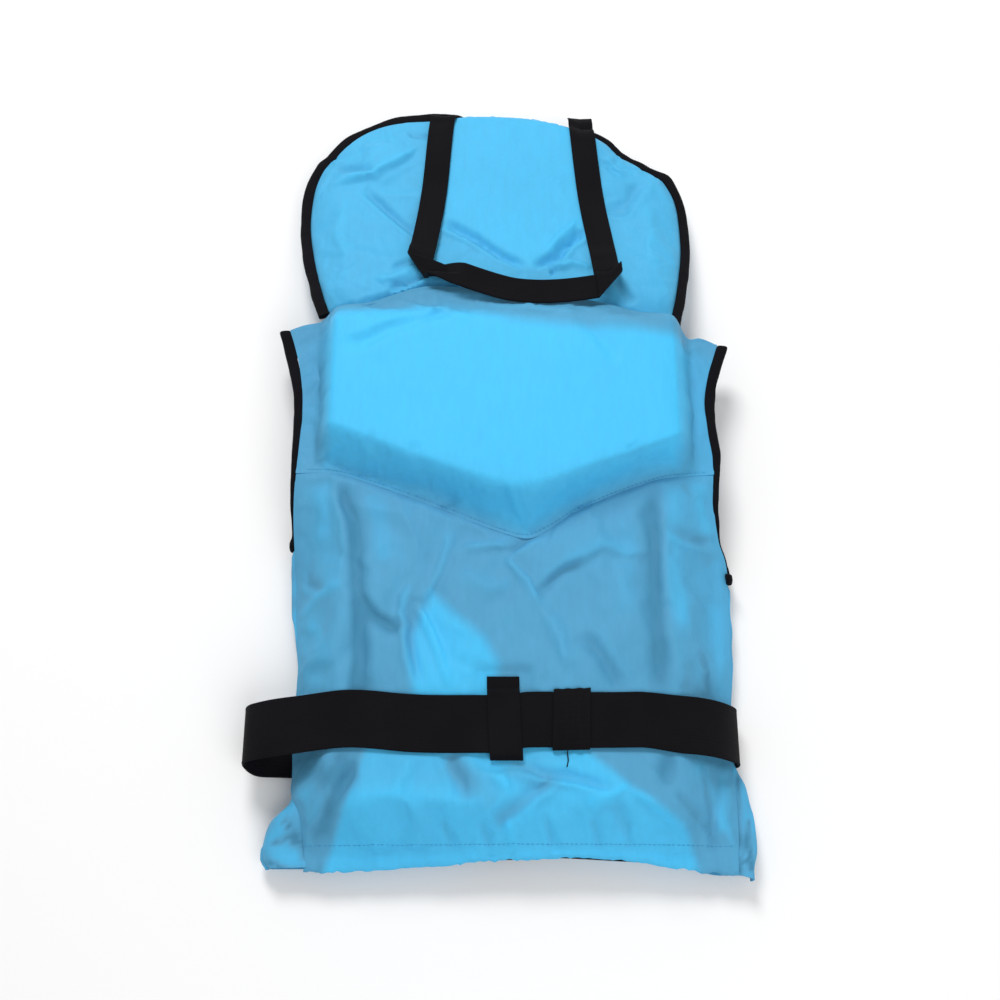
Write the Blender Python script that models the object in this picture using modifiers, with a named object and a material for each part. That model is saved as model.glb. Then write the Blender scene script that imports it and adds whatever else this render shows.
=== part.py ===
"""Child's foam life jacket, lying face down with its back up.

Built in metres with +Z up. X runs across the jacket, +Y points from the hem to the collar.
The helpers below take millimetres. Every sewn layer is a grid stretched between its own four
edges, and its two faces follow height functions, so stacked layers keep a clear gap.
"""

import math

import bmesh
import bpy
from mathutils import Vector

MM = 0.001

# where the middle of the outside box sits in the layout below
CENTRE_X = -2.22
CENTRE_Y = 3.38

# fabrics, foam and webbing
FABRIC = 0.8
GAP = 0.4
SLACK = 1.4
BACK_SLACK = 2.0
FOAM_GAP = 1.8
WEBBING = 1.5
BELT_WIDTH = 40.0
LOOP_WIDTH = 20.0

# the two fronts, which lie on the floor
ZIP_X = 3.0
ZIP_Z = 22.0
ZIP_TOP_Y = 45.0
ZIP_LOW_Y = -261.0
CUSHION_TOP = 38.0
SIDE_Z = 6.0
HEM_Y = -284.0
END_ROWS = 3

# the belt
BELT_Y = -205.0
BELT_FRONT_Z = 4.15
BELT_BACK_Z = 46.4
GROOVE = 5.4
BUCKLE_GROOVE = 11.0
KEEPER_X = 3.0
KEEPER_WIDTH = 23.0
KEEPER_LENGTH = 53.0
SLEEVE_X = 47.0
SLEEVE_WIDTH = 24.0

# the back
BACK_Z = 40.0
YOKE_FOAM = 28.0

# the collar, and the line it folds on
COLLAR_THICK = 30.0
COLLAR_EDGE = 3.0
COLLAR_HINGE = (0.0, 116.0, 50.0)
LOOP_HINGE = (8.0, 303.0, 18.0)
BINDING = (3.9, 2.6)

# the zip slider and its pull
SLIDER_Y = 38.0
PULL_Z = 17.8

COLOURS = {
    "yoke_fabric": ((0.070, 0.500, 0.880), 0.60, 0.0),
    "back_fabric": ((0.082, 0.400, 0.680), 0.62, 0.0),
    "lining_fabric": ((0.060, 0.330, 0.600), 0.70, 0.0),
    "foam": ((0.800, 0.810, 0.780), 0.85, 0.0),
    "webbing": ((0.012, 0.011, 0.012), 0.78, 0.0),
    "binding": ((0.011, 0.010, 0.012), 0.70, 0.0),
    "elastic": ((0.014, 0.013, 0.014), 0.82, 0.0),
    "zip_tape": ((0.015, 0.015, 0.017), 0.80, 0.0),
    "plastic": ((0.016, 0.016, 0.018), 0.38, 0.0),
    "reflective": ((0.600, 0.620, 0.640), 0.35, 0.1),
}


# ---------------------------------------------------------------- scene and materials


def clear_scene():
    for item in list(bpy.data.objects):
        bpy.data.objects.remove(item, do_unlink=True)


def collection(name):
    made = bpy.data.collections.new(name)
    bpy.context.scene.collection.children.link(made)
    return made


def material(name):
    found = bpy.data.materials.get(name)
    if found:
        return found
    colour, roughness, metallic = COLOURS[name]
    made = bpy.data.materials.new(name)
    made.use_nodes = True
    shader = made.node_tree.nodes["Principled BSDF"]
    shader.inputs["Base Color"].default_value = (*colour, 1.0)
    shader.inputs["Roughness"].default_value = roughness
    shader.inputs["Metallic"].default_value = metallic
    made.diffuse_color = (*colour, 1.0)
    return made


clear_scene()
PARTS = collection("life_jacket")
GUIDES = collection("guides")


def add(name, bm, slot, home=PARTS):
    """Turn a bmesh laid out in millimetres into an object in metres, about the box's middle."""
    bm.normal_update()
    bmesh.ops.recalc_face_normals(bm, faces=bm.faces[:])
    for v in bm.verts:
        v.co = Vector((v.co.x - CENTRE_X, v.co.y - CENTRE_Y, v.co.z)) * MM
    mesh = bpy.data.meshes.new(name)
    bm.to_mesh(mesh)
    bm.free()
    obj = bpy.data.objects.new(name, mesh)
    home.objects.link(obj)
    mesh.materials.append(material(slot))
    return obj


def set_origin(obj, point):
    """Put a moving piece's origin on its joint's axis."""
    at = Vector((point[0] - CENTRE_X, point[1] - CENTRE_Y, point[2])) * MM
    for v in obj.data.vertices:
        v.co -= at
    obj.location = at


def solidify(obj, thickness):
    mod = obj.modifiers.new("thickness", "SOLIDIFY")
    mod.thickness = thickness * MM
    mod.offset = 0.0
    mod.use_even_offset = True


def round_edges(obj, width, segments=2):
    mod = obj.modifiers.new("rounded", "BEVEL")
    mod.width = width * MM
    mod.segments = segments
    mod.limit_method = "ANGLE"
    mod.angle_limit = math.radians(40)


def combine(obj, other, operation):
    """Cut or join with a guide solid, which stays hidden in its own collection."""
    mod = obj.modifiers.new(operation.lower(), "BOOLEAN")
    mod.operation = operation
    mod.solver = "EXACT"
    mod.object = other
    other.hide_render = True
    other.display_type = "WIRE"


# ---------------------------------------------------------------- curves and surfaces


def smooth(low, high, t):
    """0 up to low, 1 from high, and an even S between."""
    s = min(max((t - low) / (high - low), 0.0), 1.0)
    return s * s * (3.0 - 2.0 * s)


def along(points, t):
    """A smooth curve through (position, value) pairs."""
    if t <= points[0][0]:
        return points[0][1]
    if t >= points[-1][0]:
        return points[-1][1]
    i = 0
    while points[i + 1][0] < t:
        i += 1
    p0 = points[max(i - 1, 0)]
    p1 = points[i]
    p2 = points[i + 1]
    p3 = points[min(i + 2, len(points) - 1)]
    span = p2[0] - p1[0]
    m1 = span * (p2[1] - p0[1]) / (p2[0] - p0[0])
    m2 = span * (p3[1] - p1[1]) / (p3[0] - p1[0])
    s = (t - p1[0]) / span
    a = (2 * s**3 - 3 * s**2 + 1) * p1[1]
    b = (s**3 - 2 * s**2 + s) * m1
    c = (-2 * s**3 + 3 * s**2) * p2[1]
    d = (s**3 - s**2) * m2
    return a + b + c + d


def edge(points):
    """An edge of a panel as a function of its running coordinate."""
    return lambda t: along(points, t)


def inset(side, amount):
    return lambda t: side(t) + amount


def from_zip(x):
    return abs(x - ZIP_X)


def belt_band(y, half, fade):
    return 1.0 - smooth(half, half + fade, abs(y - BELT_Y))


def front_under(x, y):
    """Outer face of the fronts: flat on the floor, up to the zip in the middle and over the belt."""
    d = from_zip(x)
    plain = ZIP_Z * (1.0 - smooth(14, 60, d))
    wide = ZIP_Z * (1.0 - smooth(30, 75, d))
    centre = plain + (wide - plain) * belt_band(y, 34, 16)
    low_end = smooth(264, 280, -y)
    centre = centre * (1.0 - low_end) + 8.0 * low_end * (centre > 8.0) + centre * low_end * (centre <= 8.0)
    groove = GROOVE + (BUCKLE_GROOVE - GROOVE) * (1.0 - smooth(90, 110, d))
    band = groove * belt_band(y, 33, 9)
    side = SIDE_Z * smooth(108, 124, d)
    hem = 8.0 * smooth(262, 282, -y)
    chest = 9.0 * smooth(30, 75, y)
    return max(centre, band, side, hem, chest)


def front_over(x, y):
    """Inner face of the fronts, which the back rests on."""
    d = from_zip(x)
    flat = front_under(x, y) + 2 * FABRIC + SLACK + 0.8 * (1.0 - smooth(14, 30, d))
    high = 26.5 + (CUSHION_TOP - 26.5) * smooth(8, 34, d)
    fill = 1.0 - smooth(104, 128, d)
    fill *= 1.0 - smooth(246, 272, -y)
    fill *= 1.0 - smooth(28, 66, y)
    return flat + max(0.0, high - flat) * fill


HEM_Z = edge([(-150, 13.5), (-65, 15.5), (0, 20), (65, 20), (137, 14.5), (165, 13.5)])


def back_under(x, y):
    """Inner face of the back: level over the fronts, down the sides, and down to the hem."""
    d = from_zip(x)
    open_arm = smooth(-104, -24, y)
    drop = 30.0 + (7.0 - 30.0) * open_arm
    body = BACK_Z - drop * smooth(110, 152, d)
    low = smooth(252, 285, -y)
    return body * (1.0 - low) + HEM_Z(x) * low


# the V of the seam between the yoke and the lower back, and the lower edge of the yoke's full foam
seam_line = edge(
    [(-152, -18), (-121, -21), (-73, -37), (-38, -51), (0, -67), (18, -71.5), (32, -66),
     (56, -51), (106, -30), (135, -23), (160, -19)]
)
full_line = edge([(-140, 14), (-112, 3), (-60, -18), (14, -40), (70, -24), (118, -6), (140, 8)])


def yoke_fill(x, y):
    """How full of foam the back is: 1 in the middle of the yoke, 0 outside its pad."""
    fill = smooth(-136, -118, x) * (1.0 - smooth(124, 142, x))
    seam = seam_line(x)
    fill *= smooth(0.0, 1.0, (y - seam) / (full_line(x) - seam))
    return fill * (1.0 - 0.58 * smooth(86, 117, y))


def back_over(x, y):
    return back_under(x, y) + 2 * FABRIC + BACK_SLACK + YOKE_FOAM * yoke_fill(x, y)


def panel(name, slot, left, right, low, high, cols, rows, top, bottom):
    """A layer between four edges, from its upper face to its lower one.

    rows is a count of even rows, or the places in Y that several layers share, which the
    last few rows leave to reach an edge that isn't straight.
    """
    shared = [] if isinstance(rows, int) else rows
    count = rows if isinstance(rows, int) else len(shared) + END_ROWS - 1
    bm = bmesh.new()
    bmesh.ops.create_grid(bm, x_segments=cols, y_segments=count, size=0.5)
    for v in bm.verts:
        u = v.co.x + 0.5
        row = round((v.co.y + 0.5) * count)
        if not shared:
            y = low(u) + (high(u) - low(u)) * row / count
        elif row < len(shared):
            y = shared[row]
        else:
            y = shared[-1] + (high(u) - shared[-1]) * (row - len(shared) + 1) / END_ROWS
        x = left(y) + (right(y) - left(y)) * u
        v.co = Vector((x, y, top(x, y)))
    made = bmesh.ops.extrude_face_region(bm, geom=bm.faces[:], use_keep_orig=True)
    for v in made["geom"]:
        if isinstance(v, bmesh.types.BMVert):
            v.co.z = bottom(v.co.x, v.co.y)
    return add(name, bm, slot)


def level(value):
    return lambda t: value


def lifted(surface, amount):
    return lambda x, y: surface(x, y) + amount


def between(lower, upper, share):
    return lambda x, y: lower(x, y) + (upper(x, y) - lower(x, y)) * share


def layer(name, slot, edges, cols, rows, surface, above, thick):
    """One thickness of cloth lying a set height above a surface."""
    top = lifted(surface, above + thick)
    bottom = lifted(surface, above)
    return panel(name, slot, *edges, cols, rows, top, bottom)


def foam_pair(name, edges, cols, rows, lower, upper):
    """Two sheets of foam that share the space between two covers."""
    floor = lifted(lower, FABRIC + FOAM_GAP)
    roof = lifted(upper, -FABRIC - FOAM_GAP)
    middle = between(floor, roof, 0.5)
    low_top = lifted(middle, -GAP / 2)
    high_low = lifted(middle, GAP / 2)
    panel(name + "_outer", "foam", *edges, cols, rows, low_top, floor)
    panel(name + "_inner", "foam", *edges, cols, rows, roof, high_low)


def smooth_path(points, steps):
    """Points along a smooth curve through the given ones, each of any dimension."""
    keys = []
    for axis in range(len(points[0])):
        keys.append([(i, p[axis]) for i, p in enumerate(points)])
    last = len(points) - 1
    made = []
    for i in range(steps + 1):
        t = last * i / steps
        made.append([along(key, t) for key in keys])
    return made


def tube(name, slot, path, half_width, half_height, closed=False, sides=8):
    """A strip of round-edged trim along a path in space."""
    profile = bpy.data.curves.new(name + "_profile", "CURVE")
    profile.dimensions = "2D"
    ring = profile.splines.new("POLY")
    ring.points.add(sides - 1)
    for i in range(sides):
        a = -2 * math.pi * i / sides
        at = (half_width * math.cos(a) * MM, half_height * math.sin(a) * MM, 0, 1)
        ring.points[i].co = at
    ring.use_cyclic_u = True
    shape = bpy.data.objects.new(name + "_profile", profile)
    GUIDES.objects.link(shape)
    shape.hide_render = True
    curve = bpy.data.curves.new(name, "CURVE")
    curve.dimensions = "3D"
    curve.twist_mode = "Z_UP"
    curve.bevel_mode = "OBJECT"
    curve.bevel_object = shape
    curve.use_fill_caps = not closed
    line = curve.splines.new("POLY")
    line.points.add(len(path) - 1)
    for i, p in enumerate(path):
        at = ((p[0] - CENTRE_X) * MM, (p[1] - CENTRE_Y) * MM, p[2] * MM, 1)
        line.points[i].co = at
    line.use_cyclic_u = closed
    obj = bpy.data.objects.new(name, curve)
    PARTS.objects.link(obj)
    curve.materials.append(material(slot))
    return obj


def box(name, slot, low, high, home=PARTS):
    bm = bmesh.new()
    bmesh.ops.create_cube(bm, size=1.0)
    for v in bm.verts:
        for axis in range(3):
            v.co[axis] = low[axis] + (high[axis] - low[axis]) * (v.co[axis] + 0.5)
    return add(name, bm, slot, home)


def rod(name, slot, centre, radius, length, home=PARTS):
    """A cylinder along X."""
    bm = bmesh.new()
    bmesh.ops.create_cone(
        bm, cap_ends=True, segments=20, radius1=radius, radius2=radius, depth=length
    )
    for v in bm.verts:
        v.co = Vector((v.co.z + centre[0], v.co.y + centre[1], v.co.x + centre[2]))
    return add(name, bm, slot, home)


# ---------------------------------------------------------------- the two fronts

SIDE_LEFT = edge(
    [
        (-290, -147), (-282, -153), (-262, -149), (-241, -138), (-205, -141), (-124, -141),
        (-66, -140), (-42, -141), (-4, -142.6), (34, -142.6), (61, -146.6), (91, -153.5),
    ]
)
SIDE_RIGHT = edge(
    [
        (-290, 160), (-272, 160), (-250, 157), (-225, 153), (-205, 152), (-185, 154),
        (-147, 156), (-92, 156), (-54, 145), (-19, 150), (34, 147), (66, 158), (78, 160),
    ]
)
ARM_LEFT = edge(
    [(-290, -145), (-262, -146), (-241, -136), (-205, -138), (-66, -138), (-30, -129),
     (10, -128), (50, -134), (92, -147)]
)
ARM_RIGHT = edge(
    [(-290, 158), (-250, 152), (-205, 146), (-92, 150), (-50, 136), (0, 133), (50, 140), (80, 154)]
)


def front_zip_edge(sign, half):
    """The edge of a front beside the zip, then around the neck."""
    return edge(
        [
            (-290, ZIP_X + sign * half),
            (40, ZIP_X + sign * half),
            (56, ZIP_X + sign * 22),
            (76, ZIP_X + sign * 54),
            (98, ZIP_X + sign * 76),
        ]
    )


FRONT_LOW = level(HEM_Y)
SHOULDER_LEFT = edge([(0, 86), (1, 97)])
SHOULDER_RIGHT = edge([(0, 92), (1, 74)])

left_cover = (ARM_LEFT, front_zip_edge(-1, 5.5), FRONT_LOW, SHOULDER_LEFT)
right_cover = (front_zip_edge(1, 5.5), ARM_RIGHT, FRONT_LOW, SHOULDER_RIGHT)
left_lining = (inset(ARM_LEFT, 1), front_zip_edge(-1, 9.5), FRONT_LOW, SHOULDER_LEFT)
right_lining = (front_zip_edge(1, 9.5), inset(ARM_RIGHT, -1), FRONT_LOW, SHOULDER_RIGHT)

# rows that every layer of the fronts and the lower back shares
BELOW_BELT = [-284, -279, -274, -269, -264, -257, -250]
AT_BELT = [-244, -238, -232, -222, -188, -178, -172, -166]
ABOVE_BELT = [-150, -128, -104]
CHEST = [-84, -58, -30, 0, 28, 40, 52, 62]
FRONT_ROWS = BELOW_BELT + AT_BELT + ABOVE_BELT + CHEST

layer("front_cover_left", "yoke_fabric", left_cover, 14, FRONT_ROWS, front_under, 0.0, FABRIC)
layer("front_cover_right", "yoke_fabric", right_cover, 14, FRONT_ROWS, front_under, 0.0, FABRIC)
layer("front_lining_left", "lining_fabric", left_lining, 12, FRONT_ROWS, front_over, -FABRIC, FABRIC)
layer("front_lining_right", "lining_fabric", right_lining, 12, FRONT_ROWS, front_over, -FABRIC, FABRIC)

FOAM_ROWS = BELOW_BELT[6:] + AT_BELT + ABOVE_BELT + CHEST[:4]
FOAM_LOW = level(FOAM_ROWS[0])
FOAM_HIGH = level(38)
left_foam = (level(ZIP_X - 97), level(ZIP_X - 37), FOAM_LOW, FOAM_HIGH)
right_foam = (level(ZIP_X + 37), level(ZIP_X + 97), FOAM_LOW, FOAM_HIGH)
foam_pair("front_foam_left", left_foam, 8, FOAM_ROWS, front_under, front_over)
foam_pair("front_foam_right", right_foam, 8, FOAM_ROWS, front_under, front_over)


def patch(name, low_x, high_x):
    """A reflective patch sewn to the chest."""
    edges = (level(low_x), level(high_x), level(48), level(68))
    return layer(name, "reflective", edges, 6, 6, front_under, -1.2, 0.5)


patch("reflective_patch_left", -104, -58)
patch("reflective_patch_right", 64, 110)

# ---------------------------------------------------------------- the back

YOKE_TOP = edge(
    [(-157, 88), (-125, 104), (-73, 110), (0, 117), (88, 107), (128, 96), (161, 75)]
)
BACK_LEFT = SIDE_LEFT
BACK_RIGHT = SIDE_RIGHT


def across(u):
    """Where a share of the back's width lies in X."""
    return -150 + 308 * u


def yoke_low(u):
    return seam_line(across(u)) + GAP


def back_seam(u):
    return seam_line(across(u))


def yoke_high(u):
    return YOKE_TOP(-157 + 320 * u)


yoke_edges = (BACK_LEFT, BACK_RIGHT, yoke_low, yoke_high)
layer("yoke_shell", "yoke_fabric", yoke_edges, 24, 16, back_over, -FABRIC, FABRIC)

lower_edges = (BACK_LEFT, BACK_RIGHT, level(HEM_Y), back_seam)
LOWER_ROWS = BELOW_BELT + AT_BELT[::2] + ABOVE_BELT
layer("lower_back_panel", "back_fabric", lower_edges, 24, LOWER_ROWS, back_over, -FABRIC, FABRIC)


def lining_high(u):
    return min(yoke_high(u) - 9.0, 100.0)


lining_edges = (inset(BACK_LEFT, 1), inset(BACK_RIGHT, -1), level(HEM_Y), lining_high)
LINING_ROWS = LOWER_ROWS + CHEST[:6]
layer("back_lining", "lining_fabric", lining_edges, 24, LINING_ROWS, back_under, 0.0, FABRIC)


FOAM_LEFT = -117
FOAM_RIGHT = 123


def yoke_foam_low(u):
    x = FOAM_LEFT + (FOAM_RIGHT - FOAM_LEFT) * u
    return seam_line(x) + 0.75 * (full_line(x) - seam_line(x))


yoke_foam = (level(FOAM_LEFT), level(FOAM_RIGHT), yoke_foam_low, level(88))
foam_pair("yoke_foam", yoke_foam, 12, 9, back_under, lifted(back_under, YOKE_FOAM - 3.0))

# ---------------------------------------------------------------- shoulders and trim


def shoulder(name, low_x, high_x, top_edge, under_y):
    """The roll of cloth from the yoke over the shoulder to the front."""
    bm = bmesh.new()
    bmesh.ops.create_grid(bm, x_segments=8, y_segments=8, size=0.5)
    for v in bm.verts:
        u = v.co.x + 0.5
        w = v.co.y + 0.5
        x = low_x + (high_x - low_x) * u
        start = top_edge(x) - 3.0
        finish = under_y(x) + 1.5
        top = min(back_over(x - 6, start), back_over(x, start), back_over(x + 6, start)) - 3.4
        low = front_over(x, finish) + 1.4
        a = math.pi * w
        y = start + (finish - start) * w + 2.5 * math.sin(a)
        z = (top + low) / 2 + (top - low) / 2 * math.cos(a)
        v.co = Vector((x, y, z))
    obj = add(name, bm, "yoke_fabric")
    solidify(obj, FABRIC)
    return obj


shoulder("shoulder_left", -146, -92, YOKE_TOP, lambda x: 86 + 11 * (x + 152) / 79)
shoulder("shoulder_right", 96, 150, YOKE_TOP, lambda x: 92 - 18 * (x - 79) / 79)



def arm_ring(back_edge, front_edge, sign, tip_y, pit_y):
    """The bound edge of an armhole: down the back, under the arm, and up the front."""
    ring = []
    for i in range(20):
        y = tip_y + (pit_y - tip_y) * i / 19
        x = back_edge(y) + sign * 4.2
        ring.append((x, y, back_under(x - sign * 4.2, y) + 1.8 - 6.0 * smooth(14, 19, i)))
    x = back_edge(pit_y) + sign * 5.0
    ring.append((x, pit_y - 5.5, 19))
    ring.append((x, pit_y - 7.5, 14))
    for i in range(18):
        y = pit_y - 3 + (tip_y - 8 - pit_y) * i / 17
        far = front_edge(y) + sign * 4.4
        share = smooth(0, 6, i)
        x = back_edge(y) + sign * 5.0
        x += (far - x) * share
        ring.append((x, y, 7.8 + 10.0 * smooth(30, 92, y)))
    ring.append((back_edge(tip_y) + sign * 4.2, tip_y + 1.5, 26))
    return ring


left_arm = arm_ring(SIDE_LEFT, ARM_LEFT, -1, 88, -60)
right_arm = arm_ring(SIDE_RIGHT, ARM_RIGHT, 1, 74, -84)
tube("armhole_binding_left", "binding", left_arm, 3.4, 2.2, closed=True)
tube("armhole_binding_right", "binding", right_arm, 3.4, 2.2, closed=True)


def hem_sleeve():
    """The folded hem of the back: a flat tube, open at both ends for its elastic."""
    bm = bmesh.new()
    bmesh.ops.create_cone(bm, cap_ends=False, segments=12, radius1=1.0, radius2=1.0, depth=1.0)
    rows = 22
    bmesh.ops.subdivide_edges(
        bm,
        edges=[e for e in bm.edges if abs(e.verts[0].co.z - e.verts[1].co.z) > 0.5],
        cuts=rows - 1,
    )
    for v in bm.verts:
        x = -151 + 311 * (v.co.z + 0.5)
        y = HEM_Y - 7.2 + 6.2 * v.co.y
        z = HEM_Z(x) + 0.5 + 2.6 * v.co.x
        v.co = Vector((x, y, z))
    obj = add("hem_casing", bm, "back_fabric")
    solidify(obj, FABRIC)
    return obj


hem_sleeve()
hem_line = [(-150 + 309 * i / 20, HEM_Y - 7.2, HEM_Z(-150 + 309 * i / 20) + 0.5) for i in range(21)]
tube("hem_elastic", "elastic", hem_line, 4.6, 1.1)

# ---------------------------------------------------------------- the collar

COLLAR_LEFT = edge([(100, -127), (130, -137), (160, -146), (195, -147.5), (230, -145), (256, -138)])
COLLAR_RIGHT = edge([(98, 127), (130, 133), (165, 136.5), (205, 135), (241, 128)])
COLLAR_LOW = edge([(0, 110), (0.25, 108.5), (0.5, 108), (0.75, 106), (1, 102)])
COLLAR_TOP = edge(
    [(0, 249), (0.09, 279), (0.23, 290), (0.5, 292), (0.72, 288), (0.9, 265), (1, 234)]
)


def collar_share(x, y):
    """How far a point is across the collar and along it."""
    left = COLLAR_LEFT(y)
    u = (x - left) / (COLLAR_RIGHT(y) - left)
    low = COLLAR_LOW(u)
    return u, (y - low) / (COLLAR_TOP(u) - low)


def collar_thickness(x, y):
    u, w = collar_share(x, y)
    across_pad = smooth(0, 0.17, u) * smooth(0, 0.17, 1 - u)
    along_pad = smooth(0, 0.16, 1 - w) * (0.55 + 0.45 * smooth(0, 0.16, w))
    return COLLAR_EDGE + (COLLAR_THICK - COLLAR_EDGE) * across_pad * along_pad


COLLAR_MIDDLE = edge([(102, 36), (125, 33), (160, 25), (200, 17.5), (230, 15), (300, 15)])


def collar_over(x, y):
    return COLLAR_MIDDLE(y) + collar_thickness(x, y) / 2


def collar_under(x, y):
    return max(COLLAR_MIDDLE(y) - collar_thickness(x, y) / 2, 0.0)


collar_edges = (COLLAR_LEFT, COLLAR_RIGHT, COLLAR_LOW, COLLAR_TOP)
collar_pieces = [
    layer("collar_shell", "yoke_fabric", collar_edges, 18, 14, collar_over, -FABRIC, FABRIC),
    layer("collar_lining", "lining_fabric", collar_edges, 18, 14, collar_under, 0.0, FABRIC),
]
foam_edges = (
    inset(COLLAR_LEFT, 26),
    inset(COLLAR_RIGHT, -26),
    inset(COLLAR_LOW, 6),
    lambda u: COLLAR_TOP(0.1 + 0.8 * u) - 22,
)
foam_pair("collar_foam", foam_edges, 10, 8, collar_under, collar_over)
collar_pieces.append(bpy.data.objects["collar_foam_outer"])
collar_pieces.append(bpy.data.objects["collar_foam_inner"])



def collar_rim():
    """The line of the binding, a little outside the collar's seam."""
    seam = [(COLLAR_LEFT(y), y) for y in (112, 125, 140, 155, 175, 195, 215, 235)]
    for i in range(25):
        u = i / 24
        y = COLLAR_TOP(u)
        seam.append((COLLAR_LEFT(y) + (COLLAR_RIGHT(y) - COLLAR_LEFT(y)) * u, y))
    seam += [(COLLAR_RIGHT(y), y) for y in (220, 200, 180, 160, 145, 130, 116, 105)]
    line = []
    for i, (x, y) in enumerate(seam):
        x0, y0 = seam[max(i - 1, 0)]
        x1, y1 = seam[min(i + 1, len(seam) - 1)]
        run = math.hypot(x1 - x0, y1 - y0)
        out_x = -(y1 - y0) / run
        out_y = (x1 - x0) / run
        line.append((x + 4.8 * out_x, y + 4.8 * out_y, COLLAR_MIDDLE(y)))
    return line


collar_pieces.append(tube("collar_binding", "binding", collar_rim(), *BINDING))
for piece in collar_pieces:
    if piece.type == "MESH":
        set_origin(piece, COLLAR_HINGE)

# ---------------------------------------------------------------- the lifting loop

loop_line = [(-44, 303), (-47, 285), (-52, 240), (-58, 190), (-62, 149)]
loop_foot = [(-30, 141), (10, 133), (45, 127), (75, 124)]
loop_rise = [(73, 165), (70, 210), (67, 250), (65, 285), (64, 303)]


def loop_height(x, y):
    """The loop lies on the collar and bends down over its far edge."""
    inner_y = min(y, 268.0)
    on_pad = collar_over(x, inner_y) + 2.2
    return on_pad + (17.5 - on_pad) * smooth(286, 303, y)


def ribbon(name, slot, corners, width, surface, thick, cuts):
    """Flat webbing along straight runs, mitred where it turns."""
    path = []
    for a, b in zip(corners[:-1], corners[1:]):
        for i in range(cuts):
            t = i / cuts
            path.append((a[0] + (b[0] - a[0]) * t, a[1] + (b[1] - a[1]) * t))
    path.append(corners[-1])
    count = len(path) - 1
    bm = bmesh.new()
    bmesh.ops.create_grid(bm, x_segments=2, y_segments=count, size=0.5)
    for v in bm.verts:
        i = round((v.co.y + 0.5) * count)
        here = Vector(path[i])
        back = (here - Vector(path[max(i - 1, 0)])) if i else (Vector(path[1]) - here)
        ahead = (Vector(path[i + 1]) - here) if i < count else back
        back.normalize()
        ahead.normalize()
        mid = (back + ahead).normalized()
        side = Vector((mid.y, -mid.x))
        reach = width * v.co.x / max(mid.dot(ahead), 0.5)
        at = here + side * reach
        v.co = Vector((at.x, at.y, surface(at.x, at.y) + thick))
    made = bmesh.ops.extrude_face_region(bm, geom=bm.faces[:], use_keep_orig=True)
    for v in made["geom"]:
        if isinstance(v, bmesh.types.BMVert):
            v.co.z -= thick
    return add(name, bm, slot)


loop = ribbon(
    "lifting_loop", "webbing", loop_line + loop_foot + loop_rise, LOOP_WIDTH, loop_height, 1.6, 3
)
set_origin(loop, LOOP_HINGE)

# ---------------------------------------------------------------- the belt


def strap(name, slot, path, width, thick):
    """Webbing that runs through (x, z) points, as wide as given in Y."""
    count = len(path) - 1
    bm = bmesh.new()
    bmesh.ops.create_grid(bm, x_segments=count, y_segments=1, size=0.5)
    for v in bm.verts:
        x, z = path[round((v.co.x + 0.5) * count)]
        v.co = Vector((x, BELT_Y + width * v.co.y, z))
    obj = add(name, bm, slot)
    solidify(obj, thick)
    return obj


belt = [(-36.6, 5.6), (-52, BELT_FRONT_Z), (-85, BELT_FRONT_Z), (-122, BELT_FRONT_Z)]
belt += [(-145, 4.8), (-162, 9.5), (-170.5, 20), (-167, 31), (-154, 39), (-134, 43.4)]
belt += [(-108, BELT_BACK_Z), (-60, BELT_BACK_Z), (0, BELT_BACK_Z), (60, BELT_BACK_Z)]
belt += [(112, BELT_BACK_Z), (131, 43.0), (148, 34), (158.5, 21), (158.8, 11), (151, 4.9)]
belt += [(133, BELT_FRONT_Z), (110, BELT_FRONT_Z), (84, BELT_FRONT_Z)]
strap("belt_strap", "webbing", smooth_path(belt, 88), BELT_WIDTH, WEBBING)


def over_belt(rest, peak, flat, reach):
    """Height of webbing sewn down on both sides of the belt."""
    return lambda x, y: rest + (peak - rest) * (1 - smooth(flat, reach, abs(y - BELT_Y)))


def crossing(name, slot, centre_x, width, half_length, height, thick):
    edges = (
        level(centre_x - width / 2),
        level(centre_x + width / 2),
        level(BELT_Y - half_length),
        level(BELT_Y + half_length),
    )
    return panel(name, slot, *edges, 2, 20, lifted(height, thick), height)


keeper = over_belt(BACK_Z + 4.0, BELT_BACK_Z + WEBBING / 2 + 0.4, 20.6, 24.5)
crossing("belt_keeper", "webbing", KEEPER_X, KEEPER_WIDTH, KEEPER_LENGTH / 2, keeper, 1.2)


def belt_sleeve():
    """An elastic sleeve that slides on the belt: a flat tube around it."""
    low = (SLEEVE_X - SLEEVE_WIDTH / 2, BELT_Y - 21.4, BELT_BACK_Z - 2.1)
    high = (SLEEVE_X + SLEEVE_WIDTH / 2, BELT_Y + 21.4, BELT_BACK_Z + 2.1)
    obj = box("belt_sleeve", "elastic", low, high)
    round_edges(obj, 0.5, 1)
    low = (SLEEVE_X - SLEEVE_WIDTH, BELT_Y - 20.5, BELT_BACK_Z - 1.2)
    high = (SLEEVE_X + SLEEVE_WIDTH, BELT_Y + 20.5, BELT_BACK_Z + 1.2)
    combine(obj, box("belt_sleeve_bore", "elastic", low, high, GUIDES), "DIFFERENCE")
    return obj


set_origin(belt_sleeve(), (SLEEVE_X, BELT_Y, BELT_BACK_Z))

front_keeper = over_belt(GROOVE - 1.3, 0.3, 23, 29)
crossing("front_belt_loop_left", "webbing", -96, 12, 31, front_keeper, 0.9)
crossing("front_belt_loop_right", "webbing", 118, 12, 31, front_keeper, 0.9)

# ---------------------------------------------------------------- the buckle


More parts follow.
